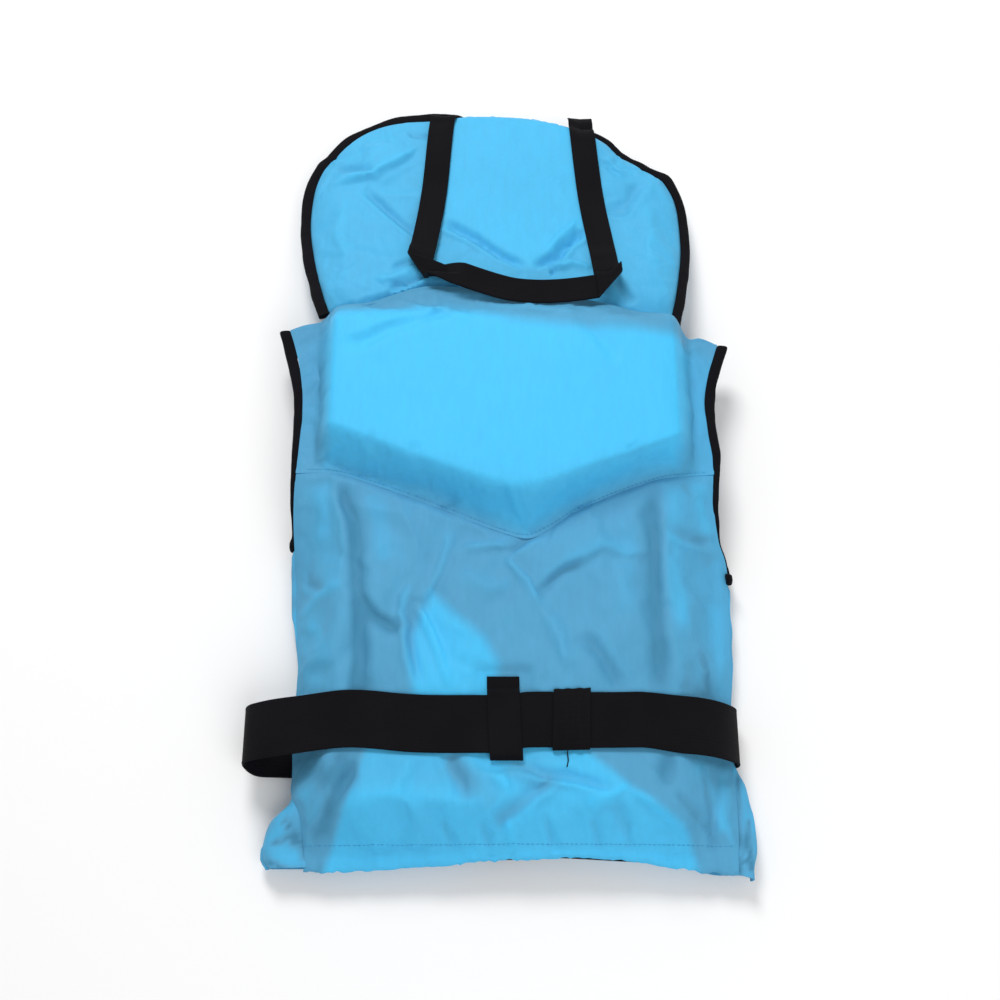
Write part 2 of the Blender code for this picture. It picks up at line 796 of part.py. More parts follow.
def buckle():
    """A side-release buckle: the female half is sewn to the left strap."""
    y = BELT_Y
    female = box("buckle_female", "plastic", (-36, y - 26, 1.0), (2, y + 26, 10.0))
    round_edges(female, 1.4, 2)
    socket = box("socket", "plastic", (-23, y - 21.5, 2.6), (4, y + 21.5, 8.4), GUIDES)
    combine(female, socket, "DIFFERENCE")
    window = box("windows", "plastic", (-19, y - 40, 3.0), (-7, y + 40, 8.0), GUIDES)
    combine(female, window, "DIFFERENCE")
    slot = box("female_slot", "plastic", (-32.5, y - 21, -2.0), (-28.5, y + 21, 20.0), GUIDES)
    combine(female, slot, "DIFFERENCE")
    male = box("buckle_male", "plastic", (3, y - 25, 1.0), (36, y + 25, 10.0))
    round_edges(male, 1.4, 2)
    prong = box("prong", "plastic", (-16, y - 4, 3.6), (4.5, y + 4, 7.4), GUIDES)
    combine(male, prong, "UNION")
    for sign in (-1, 1):
        low = (-18, y + sign * 17.5 - 2.6, 3.6)
        high = (4.5, y + sign * 17.5 + 2.6, 7.4)
        arm = box("arm_left" if sign < 0 else "arm_right", "plastic", low, high, GUIDES)
        combine(male, arm, "UNION")
    for start in (18.5, 28.5):
        low = (start, y - 21, -2.0)
        high = (start + 4, y + 21, 20.0)
        cut = box("male_slot_%d" % start, "plastic", low, high, GUIDES)
        combine(male, cut, "DIFFERENCE")
    return male


set_origin(buckle(), (36, BELT_Y, 5.5))
tail = strap("belt_tail", "webbing", [(36.6, 2.25), (60, 2.25), (85, 2.25), (110, 2.25)], 40, 1.4)
set_origin(tail, (36, BELT_Y, 5.5))

# ---------------------------------------------------------------- the zip


def zip_row(name, sign):
    """One row of teeth as a notched strip beside the middle line."""
    pitch = 5.1
    count = int((ZIP_TOP_Y - ZIP_LOW_Y) / pitch)
    points = [(2.9, ZIP_LOW_Y)]
    for i in range(count):
        start = ZIP_LOW_Y + pitch * i
        points.append((0.6, start + 0.2))
        points.append((0.6, start + 3.2))
        points.append((1.7, start + 4.1))
    points.append((2.9, ZIP_LOW_Y + pitch * count - 0.8))
    bm = bmesh.new()
    made = bmesh.ops.create_circle(bm, cap_ends=True, segments=len(points), radius=1.0)
    for v, (x, y) in zip(made["verts"], points):
        v.co = Vector((ZIP_X + sign * x, y, ZIP_Z - 0.2))
    made = bmesh.ops.extrude_face_region(bm, geom=bm.faces[:], use_keep_orig=True)
    for v in made["geom"]:
        if isinstance(v, bmesh.types.BMVert):
            v.co.z = ZIP_Z + 2.8
    return add(name, bm, "plastic")


def zip_side(side, sign):
    zip_row("zip_teeth_" + side, sign)
    near = ZIP_X + sign * 3.2
    far = ZIP_X + sign * 13.5
    low = (min(near, far), ZIP_LOW_Y + 1, ZIP_Z + 1.2)
    high = (max(near, far), ZIP_TOP_Y, ZIP_Z + 1.8)
    box("zip_tape_" + side, "zip_tape", low, high)
    near = ZIP_X + sign * 0.6
    far = ZIP_X + sign * 3.6
    low = (min(near, far), ZIP_TOP_Y + 0.4, ZIP_Z + 0.2)
    high = (max(near, far), ZIP_TOP_Y + 3.2, ZIP_Z + 2.8)
    round_edges(box("zip_stop_" + side, "plastic", low, high), 0.4, 1)


zip_side("left", -1)
zip_side("right", 1)
low = (ZIP_X - 4.6, ZIP_LOW_Y - 8.6, ZIP_Z - 1.4)
high = (ZIP_X + 4.6, ZIP_LOW_Y - 0.4, ZIP_Z + 4.0)
round_edges(box("zip_box", "plastic", low, high), 0.8, 2)


def slider():
    x = ZIP_X
    y = SLIDER_Y
    body = box("zip_slider", "plastic", (x - 5, y - 7, ZIP_Z - 2.2), (x + 5, y + 7, ZIP_Z - 0.8))
    round_edges(body, 0.5, 1)
    upper = box("upper", "plastic", (x - 5, y - 7, ZIP_Z + 3.4), (x + 5, y + 7, ZIP_Z + 4.8), GUIDES)
    combine(body, upper, "UNION")
    web = box("web", "plastic", (x - 0.35, y, ZIP_Z - 1.0), (x + 0.35, y + 5, ZIP_Z + 3.6), GUIDES)
    combine(body, web, "UNION")
    lug = box("lug", "plastic", (x - 1.2, y - 2.6, PULL_Z - 1.9), (x + 1.2, y + 2.6, ZIP_Z - 2), GUIDES)
    combine(body, lug, "UNION")
    combine(body, rod("lug_hole", "plastic", (x, y, PULL_Z), 1.15, 8, GUIDES), "DIFFERENCE")
    set_origin(body, (x, y, ZIP_Z))


def pull():
    """A wire ring through the slider's lug with a flat tab on it."""
    x = ZIP_X
    y = SLIDER_Y
    tab = box("zip_pull", "plastic", (x - 4, y - 31, PULL_Z - 0.9), (x + 4, y - 9.5, PULL_Z + 0.9))
    round_edges(tab, 0.6, 1)
    bar = rod("ring_bar", "plastic", (x, y, PULL_Z), 0.7, 7.4, GUIDES)
    combine(tab, bar, "UNION")
    for sign in (-1, 1):
        low = (x + sign * 3.0 - 0.7, y - 10.5, PULL_Z - 0.68)
        high = (x + sign * 3.0 + 0.7, y + 0.68, PULL_Z + 0.68)
        side = box("ring_side_%d" % (sign + 1), "plastic", low, high, GUIDES)
        combine(tab, side, "UNION")
    set_origin(tab, (x, y, PULL_Z))


slider()
pull()
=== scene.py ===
"""Visual model of a child's life jacket, lying face down with its back up."""

import math

import bmesh
import bpy
import numpy as np
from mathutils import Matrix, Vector
from mathutils.bvhtree import BVHTree


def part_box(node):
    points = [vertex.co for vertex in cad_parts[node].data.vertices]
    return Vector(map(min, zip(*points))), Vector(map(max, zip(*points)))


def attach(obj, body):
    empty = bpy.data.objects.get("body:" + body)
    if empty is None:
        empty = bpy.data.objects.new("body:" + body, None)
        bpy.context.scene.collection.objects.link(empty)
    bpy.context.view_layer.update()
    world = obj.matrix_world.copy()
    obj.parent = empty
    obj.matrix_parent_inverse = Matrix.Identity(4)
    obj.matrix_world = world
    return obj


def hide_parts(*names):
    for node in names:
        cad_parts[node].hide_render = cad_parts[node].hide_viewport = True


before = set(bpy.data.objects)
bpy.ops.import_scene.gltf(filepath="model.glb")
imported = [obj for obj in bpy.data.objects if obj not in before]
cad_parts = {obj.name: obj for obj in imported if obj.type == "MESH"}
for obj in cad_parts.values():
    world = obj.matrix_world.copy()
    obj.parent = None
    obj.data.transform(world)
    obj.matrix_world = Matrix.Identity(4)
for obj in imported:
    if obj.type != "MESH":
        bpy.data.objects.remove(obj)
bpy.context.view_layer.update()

# The layout used below is in millimetres; the keeper's centre ties it to the frame.
KEEPER = (3.0, -205.0)
keeper_low, keeper_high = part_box("belt_keeper")
ORIGIN = np.array(
    [
        KEEPER[0] - 500.0 * (keeper_low[0] + keeper_high[0]),
        KEEPER[1] - 500.0 * (keeper_low[1] + keeper_high[1]),
        0.0,
    ]
)

FABRIC = 0.8
BACK_SLACK = 2.0
SLACK = 1.4
YOKE_FOAM = 28.0
BACK_Z = 40.0
ZIP_X = 3.0
ZIP_Z = 22.0
HEM_Y = -284.0
BELT_Y = -205.0
BELT_BACK_Z = 46.4
BELT_FRONT_Z = 4.15
SHELL_SHARP = 75
ROW_PITCH = 2.3
SLEEVE_START = 35
SLEEVE_LONG = 24
CORNER_REACH = 34
CORNER_LAP = 1.75
FLOOR_HALF = 4.0
FLOOR_Z = -0.0008
CAMERA_FAR = 0.98


# ---------------------------------------------------------------- curves and surfaces


def smooth(low, high, t):
    """0 up to low, 1 from high, and an even S between."""
    s = np.clip((np.asarray(t, float) - low) / (high - low), 0.0, 1.0)
    return s * s * (3.0 - 2.0 * s)


def along(points, t):
    """A smooth curve through (position, value) pairs."""
    xs = np.array([p[0] for p in points], float)
    ys = np.array([p[1] for p in points], float)
    t = np.clip(np.asarray(t, float), xs[0], xs[-1])
    last = len(xs) - 1
    slope = np.empty(len(xs))
    for i in range(len(xs)):
        a = max(i - 1, 0)
        b = min(i + 1, last)
        slope[i] = (ys[b] - ys[a]) / (xs[b] - xs[a])
    i = np.clip(np.searchsorted(xs, t, side="right") - 1, 0, last - 1)
    span = xs[i + 1] - xs[i]
    s = (t - xs[i]) / span
    value = (2 * s**3 - 3 * s**2 + 1) * ys[i]
    value += (s**3 - 2 * s**2 + s) * span * slope[i]
    value += (-2 * s**3 + 3 * s**2) * ys[i + 1]
    value += (s**3 - s**2) * span * slope[i + 1]
    return value


def edge(points):
    return lambda t: along(points, t)


def from_zip(x):
    return np.abs(x - ZIP_X)


def belt_band(y, half, fade):
    return 1.0 - smooth(half, half + fade, np.abs(y - BELT_Y))


def front_under(x, y):
    """Outer face of the fronts, which lies on the floor."""
    d = from_zip(x)
    plain = ZIP_Z * (1.0 - smooth(14, 60, d))
    wide = ZIP_Z * (1.0 - smooth(30, 75, d))
    centre = plain + (wide - plain) * belt_band(y, 34, 16)
    low_end = smooth(264, 280, -y)
    centre = centre * (1.0 - low_end) + np.minimum(centre, 8.0) * low_end
    groove = 5.4 + 5.6 * (1.0 - smooth(90, 110, d))
    band = groove * belt_band(y, 33, 9)
    side = 6.0 * smooth(108, 124, d)
    hem = 8.0 * smooth(262, 282, -y)
    chest = 9.0 * smooth(30, 75, y)
    return np.maximum.reduce([centre, band, side, hem, chest])


def front_over(x, y):
    """Inner face of the fronts."""
    d = from_zip(x)
    flat = front_under(x, y) + 2 * FABRIC + SLACK + 0.8 * (1.0 - smooth(14, 30, d))
    high = 26.5 + 11.5 * smooth(8, 34, d)
    fill = 1.0 - smooth(104, 128, d)
    fill = fill * (1.0 - smooth(246, 272, -y)) * (1.0 - smooth(28, 66, y))
    return flat + np.maximum(0.0, high - flat) * fill


HEM_Z = edge([(-150, 13.5), (-65, 15.5), (0, 20), (65, 20), (137, 14.5), (165, 13.5)])


def back_under(x, y):
    """Inner face of the back."""
    d = from_zip(x)
    drop = 30.0 - 23.0 * smooth(-104, -24, y)
    body = BACK_Z - drop * smooth(110, 152, d)
    low = smooth(252, 285, -y)
    return body * (1.0 - low) + HEM_Z(x) * low


seam_line = edge(
    [(-152, -18), (-121, -21), (-73, -37), (-38, -51), (0, -67), (18, -71.5), (32, -66),
     (56, -51), (106, -30), (135, -23), (160, -19)]
)
full_line = edge([(-140, 14), (-112, 3), (-60, -18), (14, -40), (70, -24), (118, -6), (140, 8)])


def yoke_fill(x, y):
    """How full of foam the back is."""
    fill = smooth(-136, -118, x) * (1.0 - smooth(124, 142, x))
    seam = seam_line(x)
    fill = fill * smooth(0.0, 1.0, (y - seam) / (full_line(x) - seam))
    return fill * (1.0 - 0.58 * smooth(86, 117, y))


def back_over(x, y):
    return back_under(x, y) + 2 * FABRIC + BACK_SLACK + YOKE_FOAM * yoke_fill(x, y)


SIDE_LEFT = edge(
    [(-292, -126), (-275, -128.5), (-259, -131), (-245, -138), (-232, -138), (-205, -139.5), (-160, -138.5),
     (-124, -142), (-97, -143.5), (-82, -145), (-51, -146.5), (-7, -145.5), (25, -144.5), (45, -145),
     (66, -148), (84, -152.5), (98, -157)]
)
SIDE_RIGHT = edge(
    [(-292, 153.5), (-275, 156), (-249, 157), (-232, 156), (-205, 155), (-185, 157), (-153, 159.5),
     (-110, 160.5), (-92, 161), (-80, 159.5), (-67, 155), (-40, 151.5), (-7, 153.5), (12, 151.5),
     (40, 150), (60, 153.5), (76, 158.5), (88, 162.5)]
)
ARM_LEFT = edge(
    [(-290, -145), (-262, -146), (-241, -136), (-205, -138), (-66, -138), (-30, -129),
     (10, -128), (50, -134), (92, -147)]
)
ARM_RIGHT = edge(
    [(-290, 158), (-250, 152), (-205, 146), (-92, 150), (-50, 136), (0, 133), (50, 140), (80, 154)]
)
YOKE_TOP = edge(
    [(-161, 97), (-156, 99), (-145, 103.5), (-120, 106.5), (-101, 112), (-80, 120), (-65, 125.5), (-50, 128),
     (-22, 126), (15, 123.5), (52, 118.5), (83, 110), (98, 101), (114, 95), (130, 92), (141, 90), (150, 91.5),
     (162, 86.5)]
)
COLLAR_LEFT = edge(
    [(100, -124), (116, -130), (145, -139), (174, -145.5), (206, -150), (236, -149), (254, -144.5),
     (268, -138)]
)
COLLAR_RIGHT = edge(
    [(98, 127), (134, 134.5), (172, 140.5), (210, 141.5), (230, 139), (245, 133), (256, 126)]
)
COLLAR_LOW = edge([(0, 110), (0.25, 108.5), (0.5, 108), (0.75, 106), (1, 102)])
COLLAR_TOP = edge(
    [(0, 263), (0.04, 277.4), (0.08, 287.8), (0.155, 298.2), (0.23, 304), (0.32, 305.5), (0.42, 308),
     (0.5, 308.5), (0.6, 306.5), (0.68, 302), (0.76, 295), (0.84, 284.5), (0.888, 270.5),
     (0.945, 261), (1, 249)]
)
COLLAR_MIDDLE = edge([(102, 36), (125, 33), (160, 25), (200, 17.5), (230, 15.5), (250, 16), (300, 17)])


def front_zip_edge(sign, half):
    """The edge of a front beside the zip, then around the neck."""
    return edge(
        [(-290, ZIP_X + sign * half), (40, ZIP_X + sign * half), (56, ZIP_X + sign * 22),
         (76, ZIP_X + sign * 54), (98, ZIP_X + sign * 76)]
    )


def collar_thickness(x, y):
    left = COLLAR_LEFT(y)
    u = (x - left) / (COLLAR_RIGHT(y) - left)
    low = COLLAR_LOW(u)
    w = (y - low) / (COLLAR_TOP(u) - low)
    side = np.clip(np.minimum(u, 1 - u) / 0.16, 0, 1)
    across_pad = np.sqrt(1.0 - (1.0 - side) ** 2)
    end = np.clip((1 - w) / (0.075 + 0.10 * smooth(0.30, 0.62, np.abs(u - 0.57) * 2)), 0, 1)
    along_pad = np.sqrt(1.0 - (1.0 - end) ** 2) * (0.55 + 0.45 * smooth(0, 0.16, w))
    return 3.0 + 27.0 * across_pad * along_pad


def collar_over(x, y):
    return COLLAR_MIDDLE(y) + collar_thickness(x, y) / 2


def collar_under(x, y):
    return np.maximum(COLLAR_MIDDLE(y) - collar_thickness(x, y) / 2, 0.0)


# ---------------------------------------------------------------- noise and folds


def lattice(seed, size=64):
    return np.random.default_rng(seed).uniform(-1.0, 1.0, (size, size))


def noise(x, y, scale, seed):
    """Smooth value noise from -1 to 1."""
    grid = lattice(seed)
    size = grid.shape[0]
    u = np.asarray(x, float) / scale + 1000.0
    v = np.asarray(y, float) / scale + 1000.0
    i = np.floor(u).astype(int)
    j = np.floor(v).astype(int)
    fu = u - i
    fv = v - j
    fu = fu * fu * fu * (fu * (fu * 6 - 15) + 10)
    fv = fv * fv * fv * (fv * (fv * 6 - 15) + 10)
    a = grid[i % size, j % size]
    b = grid[(i + 1) % size, j % size]
    c = grid[i % size, (j + 1) % size]
    d = grid[(i + 1) % size, (j + 1) % size]
    return (a * (1 - fu) + b * fu) * (1 - fv) + (c * (1 - fu) + d * fu) * fv


def layered(x, y, scale, seed, octaves=3, gain=0.5):
    total = 0.0
    for k in range(octaves):
        total = total + gain**k * noise(x, y, scale / 2.1**k, seed + 17 * k)
    return total


def nearest(x, y, points):
    """Distance to a line of points, share along it, and signed side."""
    pts = np.array(points, float)
    runs = np.hypot(*(pts[1:] - pts[:-1]).T)
    total = runs.sum()
    best = np.full(np.shape(x), 1e9)
    share = np.zeros(np.shape(x))
    side = np.zeros(np.shape(x))
    start = 0.0
    for p, q, run in zip(pts[:-1], pts[1:], runs):
        dx, dy = (q - p) / run
        t = np.clip((x - p[0]) * dx + (y - p[1]) * dy, 0, run)
        ex = x - p[0] - t * dx
        ey = y - p[1] - t * dy
        d = np.hypot(ex, ey)
        near = d < best
        best = np.where(near, d, best)
        share = np.where(near, (start + t) / total, share)
        side = np.where(near, np.sign(dx * ey - dy * ex), side)
        start += run
    return best, share, side


def fold(x, y, points, width, height, lean=0.0, taper=0.25):
    """A ridge (height above 0) or valley along a line; lean tips it to one side."""
    wobble = 0.18 * width * noise(x, y, 9.0, 91) + 0.35 * width * noise(x, y, 26.0, 92)
    d, share, side = nearest(x + wobble, y - wobble, points)
    body = np.exp(-((d / width) ** 2))
    ends = smooth(0, taper, share) * smooth(0, taper, 1 - share)
    tip = lean * side * (d / width) * np.exp(-((d / (1.4 * width)) ** 2)) * 1.5
    return height * (body + tip) * ends


def folds(x, y, rows):
    total = np.zeros(np.shape(x))
    for row in rows:
        total = total + fold(x, y, *row)
    return total


def inside(x, y, corners, soft):
    """1 inside an outline, 0 outside, soft at the edge."""
    pts = np.array(list(corners) + [corners[0]], float)
    d, _, _ = nearest(x, y, pts)
    odd = np.zeros(np.shape(x), bool)
    for (x0, y0), (x1, y1) in zip(pts[:-1], pts[1:]):
        crosses = (y0 > y) != (y1 > y)
        with np.errstate(divide="ignore", invalid="ignore"):
            at = x0 + (y - y0) * (x1 - x0) / (y1 - y0 if y1 != y0 else 1e-9)
        odd ^= crosses & (x < at)
    return smooth(-soft, soft, np.where(odd, d, -d))


# ---------------------------------------------------------------- mesh building


def make(name, verts, faces, material, lay=None, sharp=55):
    """A mesh object from layout points; lay holds (across, along, foam share with painted light and shade)
    for its material.
    """
    mesh = bpy.data.meshes.new(name)
    points = (np.asarray(verts, float) - ORIGIN) / 1000.0
    mesh.from_pydata(points.tolist(), [], [tuple(int(i) for i in f) for f in faces])
    mesh.polygons.foreach_set("use_smooth", [True] * len(mesh.polygons))
    if lay is None:
        lay = np.column_stack([np.asarray(verts)[:, 0], np.asarray(verts)[:, 1], np.zeros(len(verts))])
    values = np.array(lay, float)
    values[:, :2] /= 1000.0
    mesh.attributes.new("lay", "FLOAT_VECTOR", "POINT")
    mesh.attributes["lay"].data.foreach_set("vector", values.ravel())
    mesh.materials.append(material)
    mesh.validate()
    mesh.set_sharp_from_angle(angle=math.radians(sharp))
    obj = bpy.data.objects.new(name, mesh)
    bpy.context.scene.collection.objects.link(obj)
    return obj


def grid_faces(rows, cols, wrap=False):
    """Quads of a grid, facing up when rows run along +Y and columns along +X."""
    r = np.arange(rows - 1)[:, None] * cols
    c = np.arange(cols if wrap else cols - 1)[None, :]
    n = (c + 1) % cols
    a = (r + c).ravel()
    b = (r + n).ravel()
    return np.column_stack([a, b, b + cols, a + cols])


def rim_faces(rows, cols, shift):
    """Walls between a top grid and a bottom grid that starts shift later."""
    rim = [(0, c) for c in range(cols)] + [(r, cols - 1) for r in range(1, rows)]
    rim += [(rows - 1, c) for c in range(cols - 2, -1, -1)] + [(r, 0) for r in range(rows - 2, 0, -1)]
    ids = [r * cols + c for r, c in rim]
    out = []
    for a, b in zip(ids, ids[1:] + ids[:1]):
        out.append((a + shift, b + shift, b, a))
    return out


def slab(name, material, x, y, top, low, mask=None, lay=None):
    """A closed piece between two height fields on one grid."""
    rows, cols = x.shape
    upper = np.column_stack([x.ravel(), y.ravel(), top.ravel()])
    lower = np.column_stack([x.ravel(), y.ravel(), low.ravel()])
    verts = np.vstack([upper, lower])
    quads = grid_faces(rows, cols)
    faces = list(quads) + list(quads[:, ::-1] + rows * cols) + rim_faces(rows, cols, rows * cols)
    shade = np.zeros(x.size) if mask is None else mask.ravel()
    if lay is None:
        one = np.column_stack([x.ravel(), y.ravel(), shade])
    else:
        one = np.column_stack([lay[0].ravel(), lay[1].ravel(), shade])
    return make(name, verts, faces, material, np.vstack([one, one]))


def normals(p):
    return unit(np.cross(np.gradient(p, axis=1), np.gradient(p, axis=0)))


def shell(name, material, upper, lower, across, run, mask):
    """A closed sheet between two grids of points, with its own directions and foam share with painted light
    and shade.
    """
    rows, cols = across.shape
    verts = np.vstack([upper.reshape(-1, 3), lower.reshape(-1, 3)])
    quads = grid_faces(rows, cols)
    faces = list(quads) + list(quads[:, ::-1] + rows * cols) + rim_faces(rows, cols, rows * cols)
    one = np.column_stack([across.ravel(), run.ravel(), mask.ravel()])
    return make(name, verts, faces, material, np.vstack([one, one]), SHELL_SHARP)


def sweep(name, material, line, across, up, profile, closed=False):
    """Rings of a profile along a line. profile(i) gives (across, up) offsets for ring i."""
    line = np.asarray(line, float)
    count = len(line)
    rings = []
    for i in range(count):
        shape = np.asarray(profile(i), float)
        rings.append(line[i] + shape[:, :1] * across[i] + shape[:, 1:] * up[i])
    size = len(rings[0])
    verts = np.vstack(rings)
    steps = np.sqrt((np.diff(line, axis=0) ** 2).sum(axis=1))
    run = np.concatenate([[0.0], np.cumsum(steps)])
    first = np.asarray(profile(0), float)
    girth = np.concatenate([[0.0], np.cumsum(np.sqrt((np.diff(first, axis=0) ** 2).sum(axis=1)))])
    lay = np.column_stack([np.tile(girth, count), np.repeat(run, size), np.zeros(len(verts))])
    faces = []
    total = count if closed else count - 1
    for i in range(total):
        j = (i + 1) % count
        for k in range(size):
            n = (k + 1) % size
            faces.append((i * size + k, i * size + n, j * size + n, j * size + k))
    if not closed:
        faces.append(tuple(range(size - 1, -1, -1)))
        faces.append(tuple((count - 1) * size + k for k in range(size)))
    obj = make(name, verts, faces, material, lay)
    outward(obj)
    return obj


def outward(obj):
    """Turns a closed mesh's faces outward."""
    bm = bmesh.new()
    bm.from_mesh(obj.data)
    bm.normal_update()
    bmesh.ops.recalc_face_normals(bm, faces=bm.faces[:])
    bm.to_mesh(obj.data)
    bm.free()


def resample(points, step):
    """Even points on a smooth curve through the given ones."""
    pts = np.array(points, float)
    runs = np.sqrt((np.diff(pts, axis=0) ** 2).sum(axis=1))
    at = np.concatenate([[0.0], np.cumsum(runs)])
    fine = np.linspace(0, at[-1], max(int(at[-1] / 0.8), 8))
    curve = np.column_stack([along(list(zip(at, pts[:, k])), fine) for k in range(pts.shape[1])])
    runs = np.sqrt((np.diff(curve, axis=0) ** 2).sum(axis=1))
    at = np.concatenate([[0.0], np.cumsum(runs)])
    even = np.linspace(0, at[-1], max(int(round(at[-1] / step)), 3) + 1)
    return np.column_stack([np.interp(even, at, curve[:, k]) for k in range(pts.shape[1])])


def tangents(line, closed=False):
    line = np.asarray(line, float)
    if closed:
        out = np.roll(line, -1, axis=0) - np.roll(line, 1, axis=0)
    else:
        out = np.gradient(line, axis=0)
    return out / np.sqrt((out**2).sum(axis=1))[:, None]


def unit(v):
    v = np.asarray(v, float)
    return v / np.maximum(np.sqrt((v**2).sum(axis=-1, keepdims=True)), 1e-9)


def laid_on(obj, points, from_below=False, above=0.0):
    """Points in X and Y laid on a piece's upper or lower face."""
    mesh = obj.data
    tree = BVHTree.FromPolygons([v.co for v in mesh.vertices], [tuple(f.vertices) for f in mesh.polygons])
    sign = 1.0 if from_below else -1.0
    found = []
    for x, y in points:
        start = (np.array([x, y, 0.0]) - ORIGIN) / 1000.0
        start[2] = -0.05 if from_below else 0.2
        hit, _, _, _ = tree.ray_cast(Vector(start), Vector((0, 0, sign)))
        if hit is not None:
            found.append((x, y, hit.z * 1000.0 - sign * above))
    return found


def stitches(name, material, lines, pitch=3.4, length=2.3, width=0.55, lift=0.25, facing_up=True):
    """Single stitches of thread along lines of surface points."""
    verts, faces, lay = [], [], []
    sides = 5
    stations = [(-0.5, -0.55, 0.55), (-0.3, 0.6, 1.0), (0.0, 1.0, 1.0), (0.3, 0.6, 1.0), (0.5, -0.55, 0.55)]
    for line in lines:
        pts = resample(line, pitch)
        tang = tangents(pts)
        up = np.tile([0.0, 0.0, 1.0 if facing_up else -1.0], (len(pts), 1))
        side = unit(np.cross(tang, up))
        up = unit(np.cross(side, tang))
        for p, t, s, n in zip(pts, tang, side, up):
            base = len(verts)
            for place, height, size in stations:
                centre = p + t * place * length + n * lift * height
                for k in range(sides):
                    a = 2 * math.pi * k / sides
                    off = s * math.cos(a) * width / 2 * size + n * math.sin(a) * width / 2 * size
                    verts.append(centre + off)
                    lay.append((k * 0.3, place * length, 0.0))
            for r in range(len(stations) - 1):
                for k in range(sides):
                    m = (k + 1) % sides
                    a = base + r * sides
                    faces.append((a + k, a + m, a + sides + m, a + sides + k))
            faces.append(tuple(base + k for k in range(sides - 1, -1, -1)))
            top = base + (len(stations) - 1) * sides
            faces.append(tuple(top + k for k in range(sides)))
    obj = make(name, np.array(verts), faces, material, np.array(lay), sharp=180)
    outward(obj)
    return obj


def settle(p, pinned, frames=12, growth=0.02, pressure=0.0, cap=4.0, bending=0.3, mass=0.02):
    """Lets cloth that is cut a little larger than its place find its own wrinkles.

    p is a grid of layout points and pinned says which are held. A point moves at most cap.
    """
    rows, cols = p.shape[:2]
    mesh = bpy.data.meshes.new("settling")
    start = (p.reshape(-1, 3) - ORIGIN) / 1000.0
    mesh.from_pydata(start.tolist(), [], grid_faces(rows, cols).tolist())
    obj = bpy.data.objects.new("settling", mesh)
    scene = bpy.context.scene
    scene.collection.objects.link(obj)
    held = obj.vertex_groups.new(name="held")
    flat = np.clip(pinned.ravel(), 0, 1)
    for level_of in np.unique(np.round(flat, 1)):
        if level_of > 0:
            ids = np.nonzero(np.round(flat, 1) == level_of)[0].tolist()
            held.add(ids, float(level_of), "REPLACE")
    mod = obj.modifiers.new("cloth", "CLOTH")
    cloth = mod.settings
    cloth.quality = 6
    cloth.mass = mass
    cloth.tension_stiffness = 25.0
    cloth.compression_stiffness = 25.0
    cloth.shear_stiffness = 10.0
    cloth.bending_stiffness = bending
    cloth.tension_damping = 3.0
    cloth.compression_damping = 3.0
    cloth.shear_damping = 3.0
    cloth.air_damping = 1.0
    cloth.vertex_group_mass = "held"
    cloth.pin_stiffness = 4.0
    cloth.shrink_min = -growth
    cloth.effector_weights.gravity = 0.0
    if pressure:
        cloth.use_pressure = True
        cloth.uniform_pressure_force = pressure
    mod.collision_settings.use_collision = False
    mod.point_cache.frame_start = 1
    mod.point_cache.frame_end = frames + 1
    for frame_number in range(1, frames + 1):
        scene.frame_set(frame_number)
    shape = obj.evaluated_get(bpy.context.evaluated_depsgraph_get()).to_mesh()
    found = np.empty(len(shape.vertices) * 3)
    shape.vertices.foreach_get("co", found)
    found = found.reshape(-1, 3)
    scene.frame_set(1)
    bpy.data.objects.remove(obj)
    bpy.data.meshes.remove(mesh)
    move = (found - start) * 1000.0
    far = np.sqrt((move**2).sum(axis=1, keepdims=True))
    move *= np.minimum(1.0, cap / np.maximum(far, 1e-9))
    return p + move.reshape(p.shape)


# ---------------------------------------------------------------- materials


def nodes_of(name):
    made = bpy.data.materials.new(name)
    made.use_nodes = True
    tree = made.node_tree
    return made, tree, tree.nodes["Principled BSDF"]


def add_node(tree, kind, **values):
    node = tree.nodes.new(kind)
    for key, value in values.items():
        setattr(node, key, value)
    return node


def calc(tree, kind, a, b=None, c=None):
    node = add_node(tree, "ShaderNodeMath", operation=kind)
    for slot, value in zip(node.inputs, (a, b, c)):
        if value is None:
            continue
        if isinstance(value, (int, float)):
            slot.default_value = value
        else:
            tree.links.new(value, slot)
    return node.outputs[0]


def mix_colour(tree, share, a, b, kind="MIX"):
    node = add_node(tree, "ShaderNodeMix", data_type="RGBA", blend_type=kind)
    for slot, value in zip((node.inputs[0], node.inputs[6], node.inputs[7]), (share, a, b)):
        if isinstance(value, (int, float)):
            slot.default_value = value
        elif isinstance(value, tuple):
            slot.default_value = (*value, 1.0)
        else:
            tree.links.new(value, slot)
    return node.outputs[2]


def lay_of(tree):
    """The cloth's own directions in metres, and its foam share with painted light and shade."""
    node = add_node(tree, "ShaderNodeAttribute", attribute_name="lay")
    parts = add_node(tree, "ShaderNodeSeparateXYZ")
    tree.links.new(node.outputs["Vector"], parts.inputs[0])
    return parts.outputs[0], parts.outputs[1], parts.outputs[2]


def object_noise(tree, scale, detail=3.0, rough=0.5, stretch=(1, 1, 1)):
    where = add_node(tree, "ShaderNodeTexCoord")
    scaled = add_node(tree, "ShaderNodeMapping")
    scaled.inputs["Scale"].default_value = stretch
    made = add_node(tree, "ShaderNodeTexNoise")
    made.inputs["Scale"].default_value = scale
    made.inputs["Detail"].default_value = detail
    made.inputs["Roughness"].default_value = rough
    tree.links.new(where.outputs["Object"], scaled.inputs[0])
    tree.links.new(scaled.outputs[0], made.inputs["Vector"])
    return made.outputs["Fac"]


def bump(tree, shader, height, distance, strength=1.0):
    node = add_node(tree, "ShaderNodeBump")
    node.inputs["Strength"].default_value = strength
    node.inputs["Distance"].default_value = distance
    tree.links.new(height, node.inputs["Height"])
    tree.links.new(node.outputs[0], shader.inputs["Normal"])


